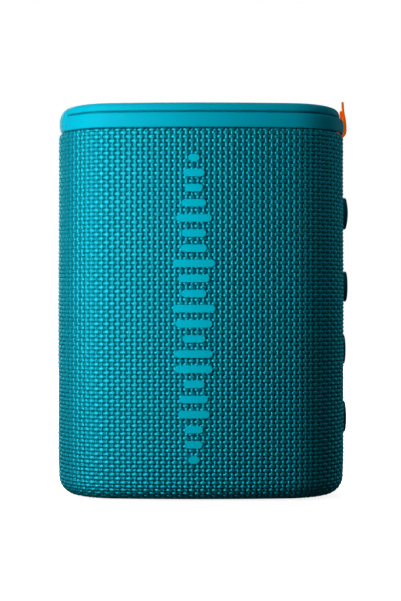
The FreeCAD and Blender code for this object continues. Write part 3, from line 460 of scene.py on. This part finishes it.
def weave_height(u, v, rng):
    """Height of a plain weave at warp position u and weft position v, both counted in yarns."""
    column = np.floor(u).astype(int)
    row = np.floor(v).astype(int)
    across_warp = u - column - 0.5
    across_weft = v - row - 0.5
    warp_sign = np.where(column % 2 == 0, 1.0, -1.0)
    weft_sign = np.where(row % 2 == 0, 1.0, -1.0)
    warp_offset = rng.normal(0, 0.025 * MM, WARP_COUNT + 2)[column]
    weft_offset = rng.normal(0, 0.02 * MM, row.max() + 2)[row]
    warp_round = np.sqrt(np.clip(1 - (across_warp / WARP_HALF_WIDTH) ** 2, 0, None))
    weft_round = np.sqrt(np.clip(1 - (across_weft / WEFT_HALF_WIDTH) ** 2, 0, None))
    swing = np.clip(FLOAT_EXTRA - weft_sign * np.cos(math.pi * (u - 0.5)), -1, 1)
    swing = np.sign(swing) * np.abs(swing) ** FLOAT_PLATEAU
    warp = WARP_CRIMP * warp_sign * np.cos(math.pi * (v - 0.5)) + WARP_HEIGHT * warp_round + warp_offset
    weft = WEFT_CRIMP * swing + WEFT_HEIGHT * weft_round + weft_offset
    warp = np.where(np.abs(across_warp) < WARP_HALF_WIDTH, warp, HOLE_FLOOR)
    weft = np.where(np.abs(across_weft) < WEFT_HALF_WIDTH, weft, HOLE_FLOOR)
    on_warp = warp >= weft
    yarn_tone = rng.random(WARP_COUNT + 2)[column] * on_warp
    yarn_tone = yarn_tone + rng.random(row.max() + 2)[row] * ~on_warp
    return np.maximum(warp, weft), yarn_tone


def sleeve_openings(distance, height):
    """Signed distance to the nearest cut-out of the sleeve: keys, status light and charging port."""
    nearest = np.full(distance.shape, 1.0)
    for name, face_radius in KEY_FACE_RADIUS.items():
        low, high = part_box("key_" + name)
        middle = (low.z + high.z) / 2
        radius = face_radius + 0.35 * MM
        nearest = np.minimum(nearest, np.hypot(wrapped(distance, 3 * QUARTER), height - middle) - radius)
    low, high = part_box("status_light_pipe")
    light = np.hypot(wrapped(distance, 3 * QUARTER), height - (low.z + high.z) / 2) - LIGHT_HOLE_RADIUS
    port_x = np.abs(wrapped(distance, 0.0)) - (PORT_HALF_WIDTH - PORT_CORNER)
    port_z = np.abs(height - PORT_MIDDLE_Z) - (PORT_HALF_HEIGHT - PORT_CORNER)
    outside = np.hypot(np.clip(port_x, 0, None), np.clip(port_z, 0, None))
    port = outside + np.minimum(np.maximum(port_x, port_z), 0) - PORT_CORNER
    return np.minimum(np.minimum(nearest, light), port)


def make_sleeve():
    run_length = sleeve_run_length()
    weft_count = round(run_length / WEFT_PITCH)
    across = (np.arange(WARP_COUNT)[:, None] + np.array(WARP_STEPS)).ravel()
    along = np.append((np.arange(weft_count)[:, None] + np.array(WEFT_STEPS)).ravel(), weft_count)
    columns = len(across)
    rows = len(along)
    u = np.tile(across, rows)
    v = np.repeat(along, columns)
    distance = u / WARP_COUNT * PERIMETER
    run = v / weft_count * run_length
    rng = np.random.default_rng(7)
    height, yarn = weave_height(u, np.minimum(v, weft_count - 1e-6), rng)
    height = height - SEAM_DEPTH * np.exp(-(wrapped(distance, 0.0) / SEAM_WIDTH) ** 2)
    # Normalised weave height, the mask for the cloth's painted shade in the holes and painted highlight on
    # the crests.
    height_shade = (height - HOLE_FLOOR) / (WEFT_CRIMP + WEFT_HEIGHT - HOLE_FLOOR)

    faces = np.array(grid_faces(rows, columns, closed_columns=True))
    level = sleeve_profile(run)[1]
    clearance = sleeve_openings(distance, level)
    kept = (clearance[faces] > 0).all(axis=1)
    used = np.zeros(len(distance), bool)
    used[faces[kept].ravel()] = True
    removed = np.zeros(len(distance), bool)
    removed[faces[~kept].ravel()] = True
    border = used & removed
    step = 0.02 * MM
    for _ in range(3):
        near = sleeve_openings(distance[border], sleeve_profile(run[border])[1])
        right = sleeve_openings(distance[border] + step, sleeve_profile(run[border])[1])
        above = sleeve_openings(distance[border], sleeve_profile(run[border] + step)[1])
        slope = np.stack([right - near, above - near], -1) / step
        slope = slope / np.linalg.norm(slope, axis=1, keepdims=True)
        distance[border] = distance[border] - near * slope[:, 0]
        run[border] = run[border] - near * slope[:, 1]

    outline_points, outline_normals = plan(distance)
    inset, level, out, up = sleeve_profile(run)
    lift = height - (WEFT_CRIMP + WEFT_HEIGHT) + CREST_PROUD

    def place(offset):
        flat = outline_points + outline_normals * (offset * out - inset)[:, None]
        return np.column_stack([flat, level + offset * up])

    surface = place(lift)
    inner = place(np.full(len(lift), -CLOTH_THICKNESS))
    faces = faces[kept]
    edges = {}
    for face in faces[(border[faces].sum(axis=1) >= 2)]:
        for a, b in zip(face, np.roll(face, -1)):
            if border[a] and border[b]:
                edges[(a, b)] = True
    rim_index = {}
    rim_points = []
    rim_faces = []
    base = len(surface)
    for a, b in edges:
        if (b, a) in edges:
            continue
        for corner in (a, b):
            if corner not in rim_index:
                rim_index[corner] = base + len(rim_points)
                rim_points.append(inner[corner])
        rim_faces.append((b, a, rim_index[a], rim_index[b]))
    points = np.vstack([surface, np.array(rim_points)])
    all_faces = faces.tolist() + rim_faces
    mesh_points, mesh_faces, order = compact(points, all_faces)
    sleeve = new_object("woven_sleeve", mesh_points, mesh_faces, "root")
    # The cut rims get a fixed 0.25, which paints them in the darker painted-shade tone.
    values = np.concatenate([height_shade, np.full(len(rim_points), 0.25)])[order]
    tones = np.concatenate([yarn, np.full(len(rim_points), 0.5)])[order]
    for name, data in (("height_shade", values), ("yarn", tones)):
        attribute = sleeve.data.attributes.new(name, "FLOAT", "POINT")
        attribute.data.foreach_set("value", data.astype(np.float32))
    sleeve.data.materials.append(woven_cloth())
    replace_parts(sleeve, "fabric_sleeve")
    return sleeve


def compact(points, faces):
    """Points that faces use, the faces renumbered to them, and the old numbers kept."""
    order = np.unique(np.concatenate([np.array(face) for face in faces]))
    number = np.full(len(points), -1)
    number[order] = np.arange(len(order))
    return points[order], [number[list(face)].tolist() for face in faces], order


# ---------------------------------------------------------------- cap, strap, tab, port cover

def ring_points(insets, heights, distance):
    """Points of rings round the outline: one row of heights and insets for each distance."""
    outline_points, outline_normals = plan(distance)
    flat = outline_points[:, None, :] - outline_normals[:, None, :] * insets[:, :, None]
    return np.concatenate([flat, heights[:, :, None]], axis=2)


def side_share(distance, side_quarters, half_width, softness):
    """1 within half_width of a side's middle, 0 outside, measured along Y."""
    points, _ = plan(distance)
    on_side = points[:, 0] * (1 if side_quarters == 3 else -1) > 0
    return smooth((half_width + softness - np.abs(points[:, 1])) / softness) * on_side


def make_cap():
    """The lid: a rounded brim, a lug over the strap's held end and a notch for the pull tab."""
    bottom = cap_low.z
    top = cap_high.z
    strap_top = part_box("carry_loop")[1].z
    turn = np.radians(np.linspace(0, 90, 9))
    round_in = CAP_INSET + CAP_ROUND * (1 - np.cos(turn))
    round_up = top - CAP_ROUND + CAP_ROUND * np.sin(turn)
    lower = [
        (CAP_WALL_INSET, bottom), (GROOVE_INSET, bottom), (GROOVE_INSET, bottom + 1.0 * MM),
        (GROOVE_INSET, bottom + 2.0 * MM), (GROOVE_INSET, bottom + 3.0 * MM), (GROOVE_INSET, strap_top),
        (GROOVE_INSET, strap_top + 0.45 * MM), (GROOVE_INSET - 0.1 * MM, strap_top + 0.60 * MM),
        (CAP_INSET + 0.3 * MM, strap_top + 0.64 * MM), (CAP_INSET + 0.08 * MM, strap_top + 0.77 * MM),
        (CAP_INSET, strap_top + 0.97 * MM),
    ]
    lug_lower = [
        (CAP_WALL_INSET, bottom), (LUG_UNDERCUT, bottom), (LUG_UNDERCUT, strap_top + 0.1 * MM),
        (LUG_INNER_INSET, strap_top + 0.1 * MM), (LUG_INNER_INSET, bottom + 1.3 * MM),
        (LUG_INNER_INSET - 0.15 * MM, bottom + 0.8 * MM), (LUG_INNER_INSET - 0.5 * MM, bottom + 0.6 * MM),
        (LUG_OUTER_INSET + 0.75 * MM, bottom + 0.75 * MM), (LUG_OUTER_INSET + 0.3 * MM, bottom + 1.3 * MM),
        (LUG_OUTER_INSET + 0.06 * MM, bottom + 2.2 * MM), (LUG_OUTER_INSET, bottom + 3.4 * MM),
    ]
    general = np.array(lower + list(zip(round_in, round_up)))
    shoulder = bottom + 3.8 * MM
    lug_round_in = LUG_OUTER_INSET + (CAP_ROUND + CAP_INSET - LUG_OUTER_INSET) * (1 - np.cos(turn))
    lug_round_up = shoulder + (top - shoulder) * np.sin(turn)
    lug = np.array(lug_lower + list(zip(lug_round_in, lug_round_up)))
    notched = general.copy()
    notched[:, 0] = np.maximum(notched[:, 0], TAB_NOTCH_INSET)
    rest = [(inset, top) for inset in CAP_TOP_RINGS]
    general = np.vstack([general, rest])
    lug = np.vstack([lug, rest])
    notched = np.vstack([notched, rest])

    distance = np.arange(RING_COLUMNS) * PERIMETER / RING_COLUMNS
    at_lug = side_share(distance, 1, LUG_HALF_WIDTH - 0.5 * MM, 0.7 * MM)[:, None, None]
    at_notch = side_share(distance, 3, TAB_NOTCH_HALF_WIDTH, 0.5 * MM)[:, None, None]
    profile = general[None] * (1 - at_lug) + lug[None] * at_lug
    profile = profile * (1 - at_notch) + notched[None] * at_notch
    points = ring_points(profile[:, :, 0], profile[:, :, 1], distance)
    count = profile.shape[1]
    faces = []
    for column in range(RING_COLUMNS):
        after = (column + 1) % RING_COLUMNS
        for row in range(count - 1):
            faces.append((column * count + row, column * count + row + 1,
                          after * count + row + 1, after * count + row))
    faces.append([column * count for column in range(RING_COLUMNS)])
    faces.append([column * count + count - 1 for column in range(RING_COLUMNS)][::-1])
    cap = new_object("soft_touch_cap", points, faces, "root")
    face_outward(cap)
    cap.data.materials.append(finish("cap_plastic"))
    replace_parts(cap, "top_cap")
    return cap


def face_outward(obj):
    """Make all face normals of a closed mesh point out."""
    mesh = bmesh.new()
    mesh.from_mesh(obj.data)
    bmesh.ops.recalc_face_normals(mesh, faces=mesh.faces)
    mesh.to_mesh(obj.data)
    mesh.free()


def make_strap():
    """One silicone strap, held under the lug at the left and free round the rest of the cap."""
    bottom = anchor_low.z
    top = anchor_high.z
    half = (top - bottom) / 2
    middle = (top + bottom) / 2
    depth = STRAP_INNER_INSET - STRAP_EDGE - STRAP_OUTER_INSET
    section = []
    for angle in np.radians(np.linspace(-90, 90, 17)):
        bulge = math.cos(angle) ** 0.6
        section.append((STRAP_INNER_INSET - STRAP_EDGE - depth * bulge, middle + half * math.sin(angle)))
    section += [
        (STRAP_INNER_INSET - 0.1 * MM, top - 0.05 * MM), (STRAP_INNER_INSET, top - 0.35 * MM),
        (STRAP_INNER_INSET, middle), (STRAP_INNER_INSET, bottom + 0.35 * MM),
        (STRAP_INNER_INSET - 0.1 * MM, bottom + 0.05 * MM),
    ]
    section = np.array(section)
    distance = np.arange(RING_COLUMNS) * PERIMETER / RING_COLUMNS
    under_lug = side_share(distance, 1, LUG_HALF_WIDTH, 1.6 * MM)
    at_tab = side_share(distance, 3, TAB_HALF_WIDTH + 0.2 * MM, 0.8 * MM)
    insets = section[None, :, 0] + under_lug[:, None] * STRAP_TUCK
    heights = np.repeat(section[None, :, 1], RING_COLUMNS, axis=0)
    lifted = bottom + STRAP_LIFT_AT_TAB
    raised = lifted + (heights - bottom) * (top - lifted) / (top - bottom)
    heights = heights * (1 - at_tab[:, None]) + raised * at_tab[:, None]
    points = ring_points(insets, heights, distance)
    faces = grid_faces(RING_COLUMNS, len(section), closed_rows=True, closed_columns=True)
    strap = new_object("carry_strap", points, faces, None)
    face_outward(strap)
    strap.data.materials.append(finish("strap_silicone"))
    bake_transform(strap)
    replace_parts(strap, "carry_loop", "loop_anchor")
    return strap


def make_tab():
    """A folded ribbon round the strap: a long outer leaf, a shorter inner leaf, and a cut end."""
    top = tab_high.z
    path = np.array([
        (44.52, 0.0), (44.57, -0.6), (44.63, -1.4), (44.71, -2.7), (44.80, -4.3), (44.91, -6.0),
        (44.99, -7.6), (45.00, -9.0), (44.72, -10.0), (44.10, -10.40), (43.40, -10.2), (42.92, -9.4),
        (42.72, -7.8), (42.80, -6.4), (43.35, -5.6), (43.88, -4.9), (44.05, -4.1), (43.98, -3.4),
        (43.92, -2.8),
    ]) * MM
    path[:, 1] += top - 0.1 * MM
    centre = refine(path, 6)
    along = np.gradient(centre, axis=0)
    along = along / np.linalg.norm(along, axis=1, keepdims=True)
    across = np.stack([-along[:, 1], along[:, 0]], -1)
    half = TAB_THICKNESS / 2
    lateral = np.concatenate([np.linspace(-1, 1, 13), np.linspace(1, -1, 13)])
    side = np.concatenate([np.ones(13), -np.ones(13)])
    rounding = np.sqrt(1 - 0.75 * np.clip((np.abs(lateral) - 0.9) / 0.1, 0, 1) ** 2)
    wobble = 1 + 0.012 * np.sin(np.linspace(0, 9, len(centre)))
    twist = TAB_TWIST * smooth((centre[:, 1] - top + 7 * MM) / (5 * MM))
    points = np.zeros((len(centre), len(lateral), 3))
    for k in range(len(lateral)):
        spot = centre + across * (half * side[k] * rounding[k])
        points[:, k, 0] = spot[:, 0] + lateral[k] * twist
        points[:, k, 1] = lateral[k] * (TAB_HALF_WIDTH - 0.1 * MM) * wobble
        points[:, k, 2] = spot[:, 1]
    rows, columns = points.shape[:2]
    faces = grid_faces(rows, columns, closed_columns=True)
    faces.append(list(range(columns))[::-1])
    faces.append(list(range((rows - 1) * columns, rows * columns)))
    tab = new_object("ribbon_tab", points, faces, "loop")
    face_outward(tab)
    tip = np.repeat(np.linspace(0, 1, rows), columns)
    attribute = tab.data.attributes.new("tip", "FLOAT", "POINT")
    attribute.data.foreach_set("value", tip.astype(np.float32))
    tab.data.materials.append(ribbon())
    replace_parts(tab, "pull_tab")
    return tab


def refine(path, steps):
    """A smooth curve through the points of a path."""
    count = len(path)
    knots = np.arange(count)
    places = np.linspace(0, count - 1, (count - 1) * steps + 1)
    index = np.clip(places.astype(int), 0, count - 2)
    share = (places - knots[index])[:, None]
    slope = np.gradient(path, axis=0)
    start, end = path[index], path[index + 1]
    leaving = (share ** 3 - 2 * share ** 2 + share) * slope[index]
    arriving = (share ** 3 - share ** 2) * slope[index + 1]
    from_start = (2 * share ** 3 - 3 * share ** 2 + 1) * start
    to_end = (3 * share ** 2 - 2 * share ** 3) * end
    return from_start + leaving + to_end + arriving


def quarter_round(radius, from_edge):
    """How far a quarter-round edge falls back, by distance from the edge."""
    short = np.clip(radius - from_edge, 0, None)
    return radius - np.sqrt(np.clip(radius ** 2 - short ** 2, 0, None))


def make_flap():
    """The rubber port cover: one rounded plate over its edge strip and flap, a thin groove between them at
    the fold line, a plug and a finger lip.
    """
    low = flap_edge_low.z
    high = flap_high.z
    half_width = (flap_high.x - flap_low.x) / 2
    levels = np.linspace(low, high, 61)
    to_end = np.minimum(levels - low, high - levels)
    trim = quarter_round(FLAP_CORNER, to_end)
    bevel = quarter_round(FLAP_EDGE_ROUND, to_end)
    share = np.concatenate([np.linspace(-1, 1, 41), np.linspace(1, -1, 41)])
    facing = np.concatenate([np.ones(41), np.zeros(41)])
    fold_low, fold_high = flap_edge_high.z, flap_low.z
    points = np.zeros((len(levels), len(share), 3))
    for row, level in enumerate(levels):
        reach = half_width - trim[row]
        x = share * reach
        to_side = reach - np.abs(x)
        side_bevel = quarter_round(FLAP_EDGE_ROUND, to_side)
        lip = FLAP_LIP * smooth((level - high + 3.4 * MM) / (0.8 * MM))
        lip = lip * smooth((high - 0.5 * MM - level) / (0.9 * MM)) * smooth((4.5 * MM - np.abs(x)) / MM)
        groove = FLAP_GROOVE * math.exp(-((level - (fold_low + fold_high) / 2) / (0.6 * MM)) ** 2)
        front_depth = FLAP_OUTER_INSET + bevel[row] + side_bevel + groove - lip
        depth = np.where(facing > 0, front_depth, FLAP_INNER_INSET - 1.8 * groove)
        depth = np.minimum(depth, FLAP_INNER_INSET)
        bow_y = np.sqrt(BOW_RADIUS ** 2 - x ** 2) - (BOW_RADIUS - HALF_DEPTH)
        points[row, :, 0] = x
        points[row, :, 1] = bow_y - depth
        points[row, :, 2] = level
    rows, columns = points.shape[:2]
    faces = grid_faces(rows, columns, closed_columns=True)
    faces.append(list(range(columns))[::-1])
    faces.append(list(range((rows - 1) * columns, rows * columns)))
    plug_points, plug_faces = rounded_plug()
    base = rows * columns
    faces = faces + [[index + base for index in face] for face in plug_faces]
    flap = new_object("port_cover", np.vstack([points.reshape(-1, 3), plug_points]), faces, None)
    face_outward(flap)
    flap.data.materials.append(finish("flap_rubber"))
    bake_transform(flap)
    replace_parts(flap, "port_flap", "port_flap_anchor")
    return flap


def rounded_plug():
    """The plug behind the port cover, as an oval prism with a rounded nose."""
    columns = 48
    turn = np.linspace(0, 2 * math.pi, columns, endpoint=False)
    straight = PLUG_HALF_WIDTH - PLUG_HALF_HEIGHT
    x = np.sign(np.cos(turn)) * straight * (np.abs(np.cos(turn)) > 1e-6) + PLUG_HALF_HEIGHT * np.cos(turn)
    z = PLUG_HALF_HEIGHT * np.sin(turn)
    rings = []
    for depth, scale in PLUG_RINGS:
        rings.append(np.stack([x * scale, np.full(columns, depth * MM), PLUG_MIDDLE_Z + z * scale], -1))
    points = np.concatenate(rings)
    faces = grid_faces(len(rings), columns, closed_columns=True)
    faces.append(list(range(columns))[::-1])
    faces.append(list(range((len(rings) - 1) * columns, len(rings) * columns)))
    return points, faces


# ---------------------------------------------------------------- flexible edges, stitches

def drivers_ring(name, outline, body):
    """A rubber ring round the drivers' axis, from a closed outline of (radius, depth along Y) points."""
    low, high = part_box("driver_cone")
    turn = np.linspace(0, 2 * math.pi, 96, endpoint=False)[:, None]
    radius, depth = np.array(outline).T
    points = np.stack([
        radius * np.cos(turn), depth + 0 * turn, (low.z + high.z) / 2 + radius * np.sin(turn)], -1)
    ring = new_object(name, points, grid_faces(96, len(outline), closed_rows=True, closed_columns=True), body)
    face_outward(ring)
    ring.data.materials.append(finish("surround_rubber"))
    return ring


def make_surround(node, body, direction, seat, bond, roll, land_radius):
    """A flexible edge in two rings: the bonded ring moves with the body, the roll and its land stay put.

    The bond is (inner, outer) radii, the roll is (middle, outer, inner) radii, and direction is along Y.
    """
    face = seat + direction * SURROUND_LAND
    inner, outer = bond
    bonded = [(inner, seat), (outer, seat), (outer, face), (inner, face)]
    drivers_ring(node + "_bonded_edge", bonded, body)
    middle, roll_outer, roll_inner = roll
    meeting = math.pi - math.asin(SURROUND_LAND / roll_outer)
    outside = [(middle - roll_outer * math.cos(angle), seat + direction * roll_outer * math.sin(angle))
               for angle in np.linspace(0, meeting, 17)]
    inside = [(middle - roll_inner * math.cos(angle), seat + direction * roll_inner * math.sin(angle))
              for angle in np.linspace(math.pi, 0, 17)]
    outline = outside + [(land_radius, face), (land_radius, seat)] + inside
    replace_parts(drivers_ring(node + "_roll", outline, "root"), node)


def make_surrounds():
    front_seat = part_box("driver_surround")[1].y
    rear_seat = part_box("radiator_surround")[0].y
    make_surround("driver_surround", "cone", -1, front_seat, DRIVER_BOND, DRIVER_ROLL, DRIVER_LAND_RADIUS)
    make_surround("radiator_surround", "radiator", 1, rear_seat, RADIATOR_BOND, RADIATOR_ROLL,
                  RADIATOR_LAND_RADIUS)


def make_seam_stitches():
    """Two rows of short stitches beside the seam at the middle of the back."""
    points, faces = [], []
    for side in (-1, 1):
        for count in range(STITCH_COUNT):
            height = STITCH_FIRST + count * STITCH_PITCH
            if abs(height - PORT_MIDDLE_Z) < PORT_HALF_HEIGHT + 2.0 * MM:
                continue
            add_capsule(points, faces, side * STITCH_OFFSET, height)
    stitches = new_object("seam_stitches", np.array(points), faces, "root")
    stitches.data.materials.append(moulded("stitch_thread", (0.0, 0.16, 0.22), 0.5, 4000, 0.00003))
    return stitches


def add_capsule(points, faces, distance, height):
    """One stitch: a thread that dives into the cloth at both ends."""
    base = len(points)
    steps = np.linspace(-1, 1, 9)
    for step in steps:
        level = height + step * STITCH_HALF_LENGTH
        inset = float(sleeve_profile(np.array([level_to_run(level)]))[0][0])
        spot, normal = plan(np.array([distance]))
        lift = 0.16 * MM - 0.55 * MM * abs(step) ** 4 - inset
        for turn in np.linspace(0, 2 * math.pi, 8, endpoint=False):
            offset = lift + STITCH_RADIUS * math.cos(turn)
            place = spot[0] + normal[0] * offset
            points.append((place[0] + STITCH_RADIUS * math.sin(turn), place[1], level))
    for ring in range(8):
        for k in range(8):
            after = (k + 1) % 8
            faces.append((base + ring * 8 + k, base + ring * 8 + after,
                          base + ring * 8 + 8 + after, base + ring * 8 + 8 + k))
    faces.append([base + k for k in range(8)][::-1])
    faces.append([base + 64 + k for k in range(8)])


def level_to_run(level):
    """Distance up the cloth's profile of a height on its straight wall."""
    return UNDERSIDE + BOTTOM_ROUND * math.pi / 2 + level - sleeve_low.z - BOTTOM_ROUND


# ---------------------------------------------------------------- finishes

FINISHES = {
    "print_cyan": ("moulded", (0.0, 0.56, 0.74), 0.5),
    "grille_metal": ("painted", (0.02, 0.02, 0.022), 0.5),
    "housing_plastic": ("moulded", (0.03, 0.03, 0.034), 0.5),
    "seal_rubber": ("moulded", (0.05, 0.05, 0.05), 0.7),
    "foot_rubber": ("moulded", (0.004, 0.06, 0.085), 0.7),
    "cap_plastic": ("moulded", (0.0, 0.46, 0.62), 0.5),
    "strap_silicone": ("moulded", (0.0, 0.45, 0.62), 0.5),
    "key_rubber": ("moulded", (0.0, 0.22, 0.29), 0.55),
    "plunger_plastic": ("moulded", (0.6, 0.6, 0.58), 0.45),
    "switch_plastic": ("moulded", (0.04, 0.04, 0.04), 0.45),
    "board_laminate": ("laminate", (0.01, 0.11, 0.05), 0.3),
    "clear_plastic": ("clear", (0.85, 0.9, 0.92), 0.15),
    "connector_plastic": ("moulded", (0.75, 0.72, 0.62), 0.45),
    "flap_rubber": ("moulded", (0.0, 0.17, 0.23), 0.6),
    "plated_steel": ("metal", (0.62, 0.62, 0.6), 0.25),
    "shield_metal": ("metal", (0.7, 0.7, 0.68), 0.3),
    "chip_plastic": ("moulded", (0.015, 0.015, 0.015), 0.4),
    "ribbon_film": ("moulded", (0.45, 0.2, 0.03), 0.3),
    "can_aluminium": ("metal", (0.75, 0.76, 0.78), 0.3),
    "cell_wrap": ("moulded", (0.02, 0.12, 0.35), 0.3),
    "basket_metal": ("painted", (0.03, 0.03, 0.03), 0.45),
    "magnet_ceramic": ("moulded", (0.035, 0.035, 0.038), 0.55),
    "coil_copper": ("metal", (0.72, 0.32, 0.12), 0.3),
    "spider_cloth": ("cloth", (0.55, 0.36, 0.12), 0.8),
    "cone_paper": ("cloth", (0.03, 0.03, 0.032), 0.8),
    "surround_rubber": ("moulded", (0.02, 0.02, 0.02), 0.6),
    "radiator_metal": ("metal", (0.35, 0.35, 0.36), 0.35),
    "lead_red": ("moulded", (0.55, 0.02, 0.015), 0.4),
    "lead_black": ("moulded", (0.015, 0.015, 0.015), 0.4),
    "screw_steel": ("metal", (0.5, 0.5, 0.5), 0.3),
}
made = {}


def finish(slot):
    """The material of one of the record's slots, made once."""
    if slot not in made:
        kind, color, roughness = FINISHES[slot]
        made[slot] = KINDS[kind](slot, color, roughness)
    return made[slot]


def painted(name, color, roughness):
    return moulded(name, color, roughness, 3200, 0.00001, 0.08, 0.5)


def metal(name, color, roughness):
    """Bare or plated metal with faint brushing."""
    shader = Shader(name, color, roughness, 1.0)
    brush = shader.noise(900, 3, 0.6, stretch=(1, 1, 9))
    shader.roughness(shader.span(brush, 0.3, 0.7, roughness * 0.8, roughness * 1.25))
    shader.color(shader.mix(brush, tuple(c * 0.88 for c in color), tuple(min(c * 1.08, 1) for c in color)))
    return shader.material


def cloth(name, color, roughness):
    """Pressed paper or impregnated cloth."""
    shader = Shader(name, color, roughness)
    fibres = shader.noise(1400, 5, 0.7)
    shader.color(shader.mix(fibres, tuple(c * 0.7 for c in color), tuple(min(c * 1.3, 1) for c in color)))
    shader.bump(fibres, 0.00006, 0.6)
    return shader.material


def laminate(name, color, roughness):
    """Circuit board with faint tracks under the mask."""
    shader = Shader(name, color, roughness)
    tracks = shader.wave(260, "DIAGONAL", 6.0)
    shader.color(shader.mix(shader.span(tracks, 0.55, 0.6), color, tuple(min(c * 1.9, 1) for c in color)))
    return shader.material


def clear(name, color, roughness):
    shader = Shader(name, color, roughness)
    shader.set(Transmission_Weight=0.7, IOR=1.49)
    return shader.material


def ribbon():
    """Bright woven ribbon with cross ribs, darker towards the sealed end; its brightness is partly painted
    light, an orange emission glow.
    """
    shader = Shader("tab_ribbon", (0.75, 0.12, 0.01), 0.8)
    ribs = shader.wave(420, "Z")
    body = shader.mix(ribs, (0.70, 0.11, 0.004), (0.90, 0.17, 0.006))
    sealed = shader.span(shader.attribute("tip"), 0.012, 0.028)
    shader.color(shader.mix(sealed, (0.16, 0.09, 0.06), body))
    shader.bump(ribs, 0.00008, 0.7)
    # Painted light: the ribbon glows orange by emission, dimmer at the sealed end, standing in for light that
    # does not reach it.
    glow = shader.mix(sealed, (0.3, 0.10, 0.0), (1.0, 0.15, 0.003))
    shader.join(glow, shader.bsdf.inputs["Emission Color"])
    shader.set(Emission_Strength=0.4, Specular_IOR_Level=0.05)
    return shader.material


KINDS = {"moulded": moulded, "painted": painted, "metal": metal, "cloth": cloth,
         "laminate": laminate, "clear": clear}


def paint_frame():
    """Give each CAD piece whose slot is listed in FINISHES the material of that slot."""
    for part in frame["record"]["subparts"]:
        slot = part["material_slot"]
        if slot in FINISHES:
            node = NODES[part["node"]]
            node.data.materials.clear()
            node.data.materials.append(finish(slot))


make_camera()
make_stage()
paint_frame()
make_sleeve()
make_cap()
make_strap()
make_tab()
make_flap()
make_surrounds()
make_seam_stitches()
